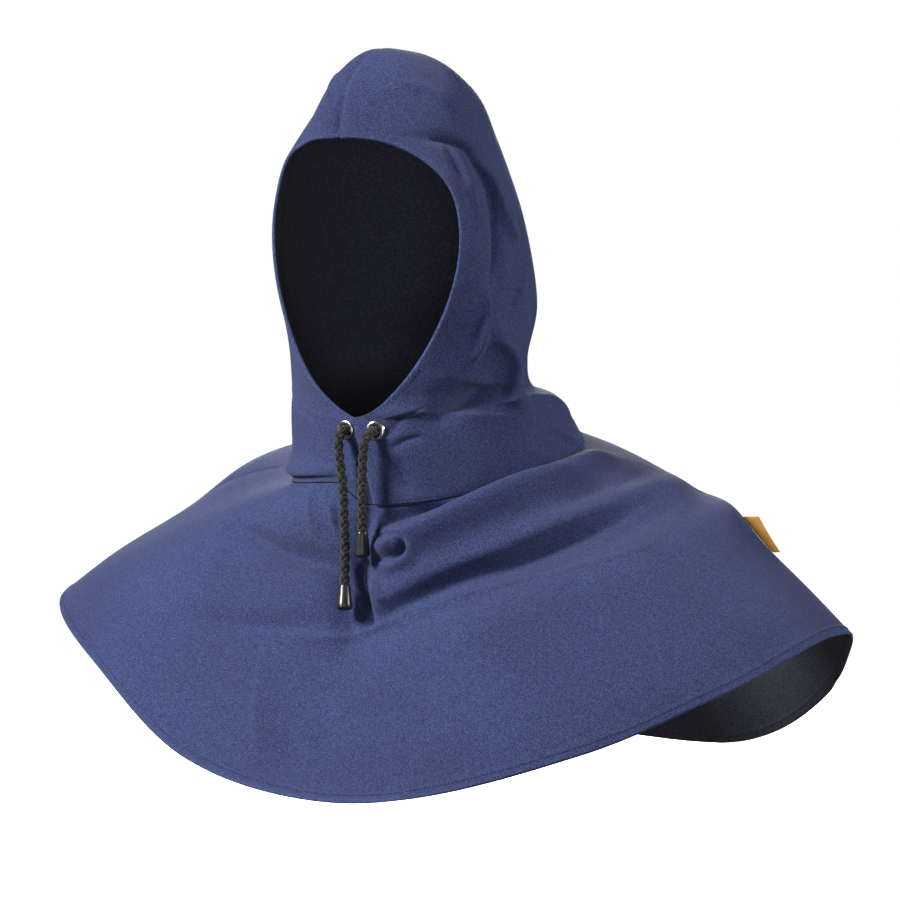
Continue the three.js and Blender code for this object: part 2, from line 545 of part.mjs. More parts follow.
function cordCurve(side) {
  const { position } = eyeletSeat(side);
  const route = side > 0 ? CORD_ROUTES.left : CORD_ROUTES.right;
  return new THREE.CatmullRomCurve3(route.map(([left, forward, down]) => (
    new THREE.Vector3(position.x + left, position.y - forward, position.z - down)
  )));
}

function cordGeometry(side) {
  const curve = cordCurve(side);
  const section = new THREE.Shape(Array.from({ length: CORD_SIDES }, (_, i) => {
    const turn = (2 * Math.PI * i) / CORD_SIDES;
    return new THREE.Vector2(Math.cos(turn), Math.sin(turn)).multiplyScalar(CORD_DIAMETER / 2);
  }));
  const steps = Math.round(curve.getLength() / (CORD_STEP * CORD_DIAMETER)) * 2;
  return new THREE.ExtrudeGeometry(section, { steps, extrudePath: curve, bevelEnabled: false });
}

// The label: a folded tab that stands out of the left shoulder seam, and leans down and to the back.
function labelGeometry() {
  const half = LABEL_LENGTH / 2 / CAPE_LENGTH;
  const outer = [];
  const inner = [];
  for (const t of [0, 0.25, 0.5, 0.75, 1]) {
    const share = LABEL_PLACE + half * (2 * t - 1);
    const root = capePoint(SHOULDER_SEAM, share);
    const normal = normalOf(capePoint, SHOULDER_SEAM, share, -1, CAPE_LIMITS);
    const toBack = capePoint(SHOULDER_SEAM + 1, share).sub(root).normalize();
    const toHem = capePoint(SHOULDER_SEAM, share + half).sub(root).normalize();
    const free = LABEL_REACH * (1 - LABEL_SLANT * t);
    const place = (reach, shift) => root.clone()
      .addScaledVector(normal, CLEARANCE * 2 + Math.cos(radians(LABEL_LEAN)) * reach * free)
      .addScaledVector(toHem, Math.sin(radians(LABEL_LEAN)) * reach * free)
      .addScaledVector(toBack, LABEL_CURL * reach * reach * free + shift);
    outer.push([0, 0.35, 0.7, 1].map((reach) => place(reach, -LABEL_WALL / 2)));
    inner.push([0, 0.35, 0.7, 1].map((reach) => place(reach, LABEL_WALL / 2)));
  }
  return wallGeometry(outer, inner);
}

// Cutting: the eyelets' barrels need their holes in the cloth.
const wasm = await Module();
wasm.setup();

function toSolid(geometry, matrix = new THREE.Matrix4()) {
  const bare = geometry.clone().applyMatrix4(matrix);
  bare.deleteAttribute('normal');
  bare.deleteAttribute('uv');
  const merged = mergeVertices(bare);
  return new wasm.Manifold(new wasm.Mesh({
    numProp: 3,
    vertProperties: new Float32Array(merged.attributes.position.array),
    triVerts: new Uint32Array(merged.index.array),
  }));
}

function toGeometry(solid) {
  const mesh = solid.getMesh();
  const geometry = new THREE.BufferGeometry();
  geometry.setAttribute('position', new THREE.Float32BufferAttribute(mesh.vertProperties, 3));
  geometry.setIndex(Array.from(mesh.triVerts));
  geometry.computeVertexNormals();
  return geometry;
}

function hoodFront(side) {
  const { position, quaternion } = eyeletSeat(side);
  const radius = EYELET_HOLE / 2 + EYELET_WALL + CLEARANCE;
  const seat = EYELET_FLANGE / 2 + CLEARANCE;
  const profile = [[0, -TUNNEL_DEPTH], [radius, -TUNNEL_DEPTH], [radius, 0], [seat, 0], [seat, HEM], [0, HEM]];
  const hole = new THREE.LatheGeometry(profile.map(([r, h]) => new THREE.Vector2(r, h)), ROUND_STEPS);
  const matrix = new THREE.Matrix4().compose(position, quaternion, new THREE.Vector3(1, 1, 1));
  return toGeometry(toSolid(hoodPanel(side)).subtract(toSolid(hole, matrix)));
}

function namedMesh(name, geometry, material) {
  const mesh = new THREE.Mesh(geometry, material);
  mesh.name = name;
  return mesh;
}

const hood = new THREE.Group();
hood.add(
  namedMesh('hood_left', hoodFront(1), MATERIALS.navy),
  namedMesh('hood_right', hoodFront(-1), MATERIALS.navy),
  namedMesh('cape_front', capePanel(-SHOULDER_SEAM, SHOULDER_SEAM, CAPE_FRONT_STEPS), MATERIALS.navyLight),
  namedMesh('cape_back', capePanel(SHOULDER_SEAM, 360 - SHOULDER_SEAM, CAPE_BACK_STEPS), MATERIALS.navyLight),
  namedMesh('label', labelGeometry(), MATERIALS.tan),
);
for (const [side, word] of [[1, 'left'], [-1, 'right']]) {
  const { position, quaternion } = eyeletSeat(side);
  const eyelet = namedMesh(`eyelet_${word}`, eyeletGeometry(), MATERIALS.nickel);
  eyelet.position.copy(position);
  eyelet.quaternion.copy(quaternion);
  const tip = cordCurve(side).getPoint(1);
  const cordEnd = namedMesh(`cord_end_${word}`, cordEndGeometry(), MATERIALS.plastic);
  const down = cordCurve(side).getTangent(1);
  cordEnd.position.copy(tip).addScaledVector(down, CLEARANCE);
  cordEnd.quaternion.setFromUnitVectors(new THREE.Vector3(0, -1, 0), down);
  hood.add(eyelet, namedMesh(`drawcord_${word}`, cordGeometry(side), MATERIALS.cord), cordEnd);
}

// The origin is on the inside of the crown, on the centre seam.
hood.position.set(
  -seamAt('x', SEAT_LEVEL),
  -seamAt('y', SEAT_LEVEL),
  -(seamAt('z', SEAT_LEVEL) - CLOTH),
);
const group = new THREE.Group();
group.add(hood);

export default group;
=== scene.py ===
"""Looks, light and camera of the welding hood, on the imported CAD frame.

Surfaces are worked out in the neck frame in millimetres, whose z is 0 at the front of the neck
seam, and go to the row frame in metres. +X is the wearer's left and the wearer looks along -Y.
"""

from __future__ import annotations

import logging
import math
from collections.abc import Callable
from dataclasses import dataclass, field
from enum import Enum

import bpy
import numpy as np
from mathutils import Matrix, Vector


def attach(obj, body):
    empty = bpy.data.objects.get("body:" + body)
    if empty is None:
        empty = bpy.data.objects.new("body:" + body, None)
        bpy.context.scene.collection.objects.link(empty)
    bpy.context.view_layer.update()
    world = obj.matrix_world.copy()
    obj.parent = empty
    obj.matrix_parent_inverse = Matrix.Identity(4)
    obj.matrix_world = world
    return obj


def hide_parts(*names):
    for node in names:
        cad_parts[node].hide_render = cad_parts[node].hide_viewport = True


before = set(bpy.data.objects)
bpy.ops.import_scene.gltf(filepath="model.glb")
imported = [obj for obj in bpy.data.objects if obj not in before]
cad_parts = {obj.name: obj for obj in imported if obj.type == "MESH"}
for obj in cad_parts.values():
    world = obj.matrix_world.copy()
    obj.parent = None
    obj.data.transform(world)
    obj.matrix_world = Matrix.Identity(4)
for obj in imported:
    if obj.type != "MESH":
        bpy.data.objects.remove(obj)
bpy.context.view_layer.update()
LOG = logging.getLogger("welding_hood")
MM = 0.001
Array = np.ndarray
Socket = bpy.types.NodeSocket
Colour = tuple[float, float, float]


class Side(Enum):
    """The wearer's side that a panel or cord is on."""

    LEFT = 1
    RIGHT = -1


# Sizes and tables.


@dataclass(frozen=True)
class ClothSize:
    """Walls and turned edges, in millimetres."""

    wall: float = 1.5
    hem: float = 3.0
    hem_width: float = 10.0
    cape_hem: float = 2.4
    cape_hem_width: float = 6.0
    clearance: float = 0.3
    lap_gap: float = 0.7
    neck_gap: float = 1.0


@dataclass(frozen=True)
class HoodSize:
    """Driving sizes of the hood and its neck seam, in millimetres."""

    neck_width: float = 196.0
    neck_depth: float = 224.0
    neck_rise: float = 46.0
    right_lift: float = 14.0
    chin_height: float = 58.0
    opening_width: float = 152.0
    opening_height: float = 189.0
    rim_recess: float = 17.0
    crown_rise: float = 62.0
    cheek_ease: float = 9.0
    depth: float = 170.0
    seam_sway: float = 12.0
    lap_slant: float = 18.0
    lap_bend: float = 0.7
    underlap: float = 5.0
    facing_width: float = 34.0
    chin_level: float = 0.20
    seat_level: float = 0.84

    @property
    def front(self) -> float:
        """Distance of the front plane from the neck's middle."""
        return self.neck_depth / 2

    @property
    def brow(self) -> float:
        """Height of the opening's top."""
        return self.chin_height + self.opening_height

    @property
    def height(self) -> float:
        """Height of the peak."""
        return self.brow + self.crown_rise

    @property
    def half(self) -> float:
        """Half width at the cheeks."""
        return self.opening_width / 2 + self.cheek_ease


@dataclass(frozen=True)
class CapeSize:
    """Driving sizes of the cape, in millimetres."""

    width: float = 600.0
    depth: float = 430.0
    shift: float = 25.0
    drop: float = 187.0
    shoulder_seam: float = 108.0

    def length(self, neck_half: float) -> float:
        """Length that turns a share of the drop into a distance, for the folds."""
        return math.hypot(self.width / 2 - neck_half, self.drop / 2)


CLOTH = ClothSize()
HOOD = HoodSize()
CAPE = CapeSize()


@dataclass(frozen=True)
class Section:
    """One section of the hood: the seam's place and the half width, as shares of the sizes."""

    name: str
    level: float
    back: float
    rise: float
    width: float
    sway: float = 0.0
    point: float = 1.0


HOOD_SECTIONS = (
    Section("collar", 0.10, back=1.19, rise=0.205, width=1.01),
    Section("nape", 0.20, back=0.88, rise=0.275, width=1.00),
    Section("skull base", 0.28, back=0.86, rise=0.335, width=0.99),
    Section("ear", 0.40, back=0.98, rise=0.453, width=1.00),
    Section("back", 0.50, back=0.96, rise=0.583, width=0.98),
    Section("temple", 0.60, back=0.90, rise=0.718, width=0.93),
    Section("upper back", 0.70, back=0.76, rise=0.850, width=0.86),
    Section("crown", 0.80, back=0.60, rise=0.945, width=0.74, sway=0.10),
    Section("peak", 0.88, back=0.37, rise=0.993, width=0.58, sway=0.25, point=1.05),
    Section("peak front", 0.94, back=0.15, rise=0.974, width=0.36, sway=0.55, point=1.1),
    Section("forehead", 0.97, back=0.05, rise=0.909, width=0.21, sway=0.83, point=1.1),
)


@dataclass(frozen=True)
class Direction:
    """One direction of the cape: hem reach and drop as shares, and how the cloth goes there."""

    angle: float
    reach: float
    drop: float
    spread: float
    fall: float


CAPE_DIRECTIONS = (
    Direction(-160, reach=1.00, drop=0.99, spread=1.20, fall=1.20),
    Direction(-120, reach=1.02, drop=0.70, spread=1.10, fall=1.60),
    Direction(-90, reach=1.04, drop=0.45, spread=1.00, fall=1.45),
    Direction(-67, reach=1.03, drop=0.45, spread=1.05, fall=1.35),
    Direction(-40, reach=1.015, drop=0.61, spread=1.10, fall=1.30),
    Direction(-18, reach=1.00, drop=0.90, spread=0.85, fall=1.12),
    Direction(5, reach=1.00, drop=1.00, spread=0.70, fall=1.05),
    Direction(40, reach=1.00, drop=0.80, spread=1.20, fall=1.20),
    Direction(60, reach=0.99, drop=0.62, spread=1.20, fall=1.40),
    Direction(90, reach=0.97, drop=0.45, spread=1.05, fall=1.65),
    Direction(113, reach=0.97, drop=0.54, spread=0.95, fall=1.90),
    Direction(130, reach=0.97, drop=0.78, spread=1.00, fall=1.75),
    Direction(150, reach=0.98, drop=1.00, spread=1.20, fall=1.20),
    Direction(180, reach=1.00, drop=1.05, spread=1.30, fall=1.20),
)


@dataclass(frozen=True)
class Fold:
    """A ridge (height above 0) or valley along places on a panel.

    Widths and bow are in millimetres to the low (left of the run) and high side. sharp goes from
    0, a round swell, to 1, a pressed edge. droop moves it down by that share of its height.
    """

    name: str
    places: tuple[tuple[float, float], ...]
    height: float
    low: float
    high: float
    bow: float = 0.0
    sharp: float = 0.0
    droop: float = 0.0


LEFT_FOLDS = (
    Fold("brow roll", ((0.10, 0.87), (0.20, 0.66)), -4, 7, 8, bow=6),
    Fold("temple valley", ((0.20, 0.64), (0.19, 0.45)), -4, 7, 7),
    Fold("temple ridge", ((0.24, 0.70), (0.33, 0.53)), 4, 8, 8),
    Fold("ear ridge", ((0.16, 0.46), (0.20, 0.34)), 4, 7, 7),
    Fold("jaw ridge", ((0.20, 0.40), (0.47, 0.26)), 5, 7, 8),
    Fold("jaw hollow", ((0.30, 0.27), (0.26, 0.20)), -12, 26, 26),
    Fold("nape roll", ((0.44, 0.26), (0.47, 0.16)), 6, 8, 8, bow=4),
    Fold("collar roll", ((0.60, 0.14), (1.00, 0.12)), 4, 10, 10),
)
RIGHT_FOLDS = (
    Fold("hem roll", ((0.10, 0.045), (0.50, 0.05)), 4.8, 7, 9, droop=0.8),
    Fold("crown fold", ((0.55, 0.97), (0.35, 0.84)), 1.4, 8, 8, bow=4),
    Fold("jaw hollow", ((0.45, 0.30), (0.55, 0.22)), -8, 24, 24),
    Fold("collar roll", ((0.60, 0.14), (1.00, 0.12)), 4, 10, 10),
)
CAPE_FOLDS = (
    Fold("shoulder ridge", ((12, 0.17), (104, 0.09)), 15, 13, 18, bow=-8),
    Fold("shoulder valley", ((10, 0.43), (92, 0.36)), -13.2, 20, 10, bow=-14),
    Fold("throat hollow", ((6, 0.12), (5, 0.52)), -12, 16, 18),
    Fold("centre tuck", ((4, 0.22), (9, 0.44)), -4, 5, 6),
    Fold("breast fold", ((-36, 0.33), (2, 0.27)), -5, 10, 9, bow=-3),
    Fold("lower breast fold", ((-44, 0.50), (-22, 0.45)), -4, 12, 12),
    Fold("collar swell", ((-30, 0.16), (-8, 0.17)), 4, 16, 16),
    Fold("arm ridge", ((50, 0.27), (112, 0.38)), 4, 12, 14),
    Fold("shoulder point", ((88, 0.55), (124, 0.55)), 7, 22, 18),
    Fold("right shoulder swell", ((-76, 0.27), (-150, 0.27)), 14, 40, 34),
    Fold("right arm swell", ((-70, 0.75), (-40, 0.80)), 3, 30, 30),
    Fold("left arm fold", ((54, 0.50), (52, 0.95)), 2, 8, 8, bow=2),
    Fold("back dip", ((150, 0.35), (215, 0.35)), -5, 30, 30),
    Fold("back flute", ((122, 0.72), (125, 1.0)), 7, 16, 16),
    Fold("back flute valley", ((153, 0.70), (155, 1.0)), -7, 16, 16),
)

# Finer creases, shown only here.
LEFT_CREASES = (
    Fold(
        "gathered edge",
        (
            (0.12, 0.845), (0.17, 0.805), (0.203, 0.767), (0.210, 0.690), (0.215, 0.623),
            (0.200, 0.545), (0.165, 0.48),
        ),
        -5.0, 1.9, 3.2, sharp=0.7,
    ),
    Fold("gathered lip", ((0.113, 0.747), (0.090, 0.688), (0.092, 0.629)), 2.6, 4, 4, sharp=0.2),
    Fold(
        "ear streak",
        ((0.232, 0.708), (0.235, 0.639), (0.263, 0.580), (0.307, 0.541)),
        5.0, 3.2, 3.4, sharp=0.5,
    ),
    Fold("back streak", ((0.37, 0.49), (0.30, 0.425)), 4.5, 4, 4, sharp=0.3),
    Fold("brow dip", ((0.12, 0.802), (0.085, 0.765), (0.07, 0.724)), -3.0, 4, 4, sharp=0.2),
    Fold("pucker a", ((0.060, 0.600), (0.150, 0.625)), 2.2, 3, 3, sharp=0.3),
    Fold("pucker b", ((0.040, 0.543), (0.140, 0.560)), 2.4, 3, 3, sharp=0.3),
    Fold("pucker c", ((0.050, 0.484), (0.145, 0.503)), 2.4, 3, 3, sharp=0.3),
    Fold("pucker d", ((0.077, 0.415), (0.140, 0.440)), 2.2, 3, 3, sharp=0.3),
    Fold("cheek line", ((0.152, 0.460), (0.158, 0.419), (0.195, 0.336)), 4.4, 3, 3, sharp=0.6),
    Fold("cheek shade", ((0.175, 0.460), (0.185, 0.410), (0.225, 0.345)), -3.0, 4, 4, sharp=0.2),
    Fold("jaw line", ((0.198, 0.189), (0.302, 0.232), (0.367, 0.269)), -4.5, 8, 8),
    Fold(
        "flap edge",
        ((0.245, 0.368), (0.348, 0.326), (0.403, 0.291), (0.427, 0.244), (0.455, 0.195)),
        6.0, 6, 3.0, sharp=0.5,
    ),
    Fold(
        "nape roll top",
        ((0.468, 0.204), (0.56, 0.185), (0.64, 0.150), (0.645, 0.100)),
        4.0, 5, 4, sharp=0.3,
    ),
    Fold("nape ridge", ((0.500, 0.105), (0.575, 0.035)), 3.4, 3.5, 3.5, sharp=0.4),
    Fold("crown pucker", ((0.50, 0.93), (0.33, 0.86)), 2.2, 6, 6, sharp=0.2),
    Fold(
        "lacing pucker a",
        ((0.075, 0.132), (0.113, 0.149), (0.152, 0.155)),
        -2.6, 2.0, 3.0, sharp=0.5,
    ),
    Fold(
        "lacing pucker b",
        ((0.065, 0.161), (0.100, 0.178), (0.130, 0.222)),
        -2.6, 3.0, 3.0, sharp=0.3,
    ),
    Fold("lacing drag", ((0.070, 0.10), (0.085, 0.03)), -2.4, 4.0, 4.0, sharp=0.2),
)
RIGHT_CREASES = (
    Fold("lacing pull", ((0.12, 0.18), (0.30, 0.23)), -1.0, 4, 4, sharp=0.2),
)
CAPE_CREASES = (
    Fold(
        "pressed line",
        (
            (-29, 0.68), (-17.5, 0.58), (0, 0.50), (7.8, 0.445), (15.5, 0.412),
            (27, 0.375), (40, 0.365), (56, 0.43), (70, 0.47),
        ),
        3.4, 4.0, 2.0, sharp=0.8,
    ),
    Fold(
        "arm press",
        ((54.5, 0.47), (52.5, 0.60), (51.7, 0.72), (52.2, 0.82), (54, 0.94)),
        3.0, 5.0, 2.0, sharp=0.8,
    ),
    Fold("front press", ((-12.8, 0.66), (-11, 0.77), (-7.5, 0.93)), 2.6, 3, 8, sharp=0.6),
    Fold(
        "throat crease",
        ((7.0, 0.207), (4.8, 0.228), (4.5, 0.266), (6.2, 0.310), (7.7, 0.358), (9.0, 0.415)),
        -7.0, 2.0, 2.4, sharp=0.3,
    ),
    Fold(
        "throat loop",
        (
            (9.5, 0.199), (14.2, 0.205), (18.7, 0.203), (20.8, 0.180), (20.2, 0.153),
            (16.5, 0.133), (12, 0.122),
        ),
        -5.5, 2.2, 2.2, sharp=0.1,
    ),
    Fold("throat roll", ((9.5, 0.158), (14, 0.166), (17.5, 0.172)), 4.0, 5.0, 5.0),
    Fold(
        "throat lip",
        ((23, 0.190), (21, 0.222), (17, 0.238), (12, 0.238)),
        4.0, 4.5, 4.5, sharp=0.2,
    ),
    Fold("throat bank", ((8.5, 0.26), (10, 0.31), (12.5, 0.36)), 4.5, 4.5, 5.0),
    Fold("throat fill", ((3.5, 0.22), (5.5, 0.31), (7.5, 0.39), (9.0, 0.46)), 6.5, 10, 13),
    Fold("cord roll", ((-7.8, 0.085), (-4.2, 0.150)), 3.0, 3.6, 3.6, sharp=0.2),
    Fold(
        "breast crease",
        ((-39, 0.30), (-27, 0.29), (-14, 0.30), (-2, 0.28)),
        -4.0, 7, 5, sharp=0.2,
    ),
    Fold("low breast fold", ((-29, 0.66), (-19, 0.58), (-1, 0.475)), -4.5, 6, 10, sharp=0.1),
    Fold(
        "pleat edge",
        ((-20, 0.03), (-15.8, 0.11), (-10.5, 0.19), (-6.2, 0.233)),
        2.6, 2.4, 4.4, sharp=0.7,
    ),
    Fold(
        "valley wall",
        ((14, 0.400), (23, 0.362), (31, 0.338), (44, 0.325), (62, 0.318), (80, 0.32)),
        -12.0, 4.5, 11, droop=0.8,
    ),
    Fold("channel", ((15, 0.068), (24, 0.048), (35, 0.032), (50, 0.028), (66, 0.035)), -11.0, 5, 6),
    Fold("crest", ((17, 0.145), (27, 0.122), (40, 0.105), (56, 0.100), (74, 0.105)), 6.5, 12, 6.0),
    Fold("shoulder crease", ((64, 0.20), (82, 0.20), (98, 0.24)), -2.0, 7, 7),
)


# Surfaces.


def ease(t: Array | float) -> Array:
    """Smooth step from 0 to 1, as 3t^2 - 2t^3 on t clipped to 0..1."""
    t = np.clip(t, 0.0, 1.0)
    return t * t * (3 - 2 * t)


def unit(v: Array) -> Array:
    """Vectors scaled to length 1 along the last axis."""
    return v / np.maximum(np.linalg.norm(v, axis=-1, keepdims=True), 1e-9)


def column(keys: Array, values: Array, at: Array, period: float = 0.0) -> Array:
    """A smooth curve through a table's column.

    A cubic through each pair of rows, whose slope at a row is the mean of the two neighbouring
    slopes, each weighted by the other's span.

    Args:
        keys: The rows' places, rising.
        values: The rows' values.
        at: Where the curve is read.
        period: The period of a column that closes on itself, or 0.

    Returns:
        The curve's value at each place.
    """
    keys, values = np.asarray(keys, float), np.asarray(values, float)
    if period:
        at = np.mod(at - keys[0], period) + keys[0]
        keys = np.concatenate([[keys[-1] - period], keys, keys[:2] + period])
        values = np.concatenate([[values[-1]], values, values[:2]])
    span = np.diff(keys)
    slope = np.diff(values) / span
    inner = (slope[:-1] * span[1:] + slope[1:] * span[:-1]) / (span[:-1] + span[1:])
    tangent = np.concatenate([[slope[0]], inner, [slope[-1]]])
    i = np.clip(np.searchsorted(keys, at, side="right") - 1, 0, len(span) - 1)
    h = span[i]
    t = (at - keys[i]) / h
    t2, t3 = t * t, t * t * t
    return (
        values[i] * (2 * t3 - 3 * t2 + 1)
        + h * tangent[i] * (t3 - 2 * t2 + t)
        + values[i + 1] * (3 * t2 - 2 * t3)
        + h * tangent[i + 1] * (t3 - t2)
    )


def neck_lift(angle: Array) -> Array:
    """How far the neck seam is pulled up at an angle, on the wearer's right of the lacing."""
    wrapped = np.mod(angle + 180, 360) - 180
    return HOOD.right_lift * ease((8 - wrapped) / 17) * ease((wrapped + 64) / 60)


def neck_seam(angle: Array) -> Array:
    """Points of the neck seam: an ellipse that climbs to the nape, with its lift.

    Args:
        angle: Angles from the front, in degrees.

    Returns:
        The points, [.., xyz].
    """
    turn = np.radians(angle)
    climb = HOOD.neck_rise * (1 - np.cos(turn)) / 2 + neck_lift(angle)
    x = HOOD.neck_width / 2 * np.sin(turn)
    return np.stack([x, -HOOD.front * np.cos(turn), climb], axis=-1)


@dataclass
class FoldField:
    """The sum of a panel's folds, as a height along the normal and a droop.

    Attributes:
        folds: The folds.
        scale: Millimetres for one unit of each of the two places.
    """

    folds: tuple[Fold, ...]
    scale: tuple[float, float]

    def run(self, fold: Fold) -> Array:
        """The fold's line in millimetres: a bowed straight one, or a smooth one through places.

        Args:
            fold: The fold.

        Returns:
            25 points on the chart.
        """
        given = np.array(fold.places) * self.scale
        t = np.linspace(0, 1, 25)
        if len(given) == 2:
            ahead = unit(given[1] - given[0])
            across = np.array([-ahead[1], ahead[0]])
            bow = (4 * t * (1 - t) * fold.bow)[:, None] * across
            return given[0] + (given[1] - given[0]) * t[:, None] + bow
        keys = np.concatenate([[0], np.cumsum(np.linalg.norm(np.diff(given, axis=0), axis=1))])
        at = t * keys[-1]
        return np.stack([column(keys, given[:, k], at) for k in range(2)], axis=-1)

    def one(self, fold: Fold, line: Array, place: Array) -> Array:
        """The fold's share at each place: a bell over the signed distance, blunt at both ends.

        Args:
            fold: The fold.
            line: Its line on the chart.
            place: Places on the chart, in millimetres.

        Returns:
            The share of the fold's height, 0 to 1.
        """
        steps = np.diff(line, axis=0)
        spans = np.linalg.norm(steps, axis=1)
        total = spans.sum()
        starts = np.concatenate([[0], np.cumsum(spans)])[:-1]
        best = np.full(place.shape[:-1], 1e9)
        off, along = np.zeros_like(best), np.zeros_like(best)
        for k, (start, step, span) in enumerate(zip(line[:-1], steps, spans)):
            ahead = step / span
            here = place - start
            t = here @ ahead
            low = -1e9 if k == 0 else 0.0
            high = 1e9 if k == len(steps) - 1 else span
            inside = np.clip(t, low, high)
            side = here[..., 1] * ahead[0] - here[..., 0] * ahead[1]
            gap = np.hypot(t - inside, side)
            nearer = gap < best
            best = np.where(nearer, gap, best)
            off = np.where(nearer, np.copysign(gap, side), off)
            along = np.where(nearer, starts[k] + inside, along)
        t = along / total
        inside = np.clip(t, 0, 1)
        width = np.where(off > 0, fold.low, fold.high)
        past = (np.maximum(-t, 0) + np.maximum(t - 1, 0)) * total
        swell = 0.35 + 0.65 * np.sin(np.pi * inside) ** 0.6
        d = np.abs(off) / width
        bell = (1 - fold.sharp) * np.exp(-d * d) + fold.sharp * np.exp(-1.6 * d)
        return bell * np.exp(-((past / ((fold.low + fold.high) / 2)) ** 2)) * swell

    def at(self, u: Array, v: Array, shifts: tuple[float, ...] = (0.0,)) -> tuple[Array, Array]:
        """Height and droop at places, with the whole field repeated at each shift of u.

        Args:
            u: First places.
            v: Second places.
            shifts: Added to u, one at a time.

        Returns:
            Heights and droops, in millimetres.
        """
        height = np.zeros(u.shape)
        droop = np.zeros_like(height)
        for fold in self.folds:
            line = self.run(fold)
            reach = 5 * max(fold.low, fold.high)
            low, high = line.min(axis=0) - reach, line.max(axis=0) + reach
            for shift in shifts:
                place = np.stack([(u + shift) * self.scale[0], v * self.scale[1]], axis=-1)
                near = np.all((place > low) & (place < high), axis=-1)
                if near.any():
                    share = self.one(fold, line, place[near]) * fold.height
                    height[near] += share
                    droop[near] += share * fold.droop
        return height, droop


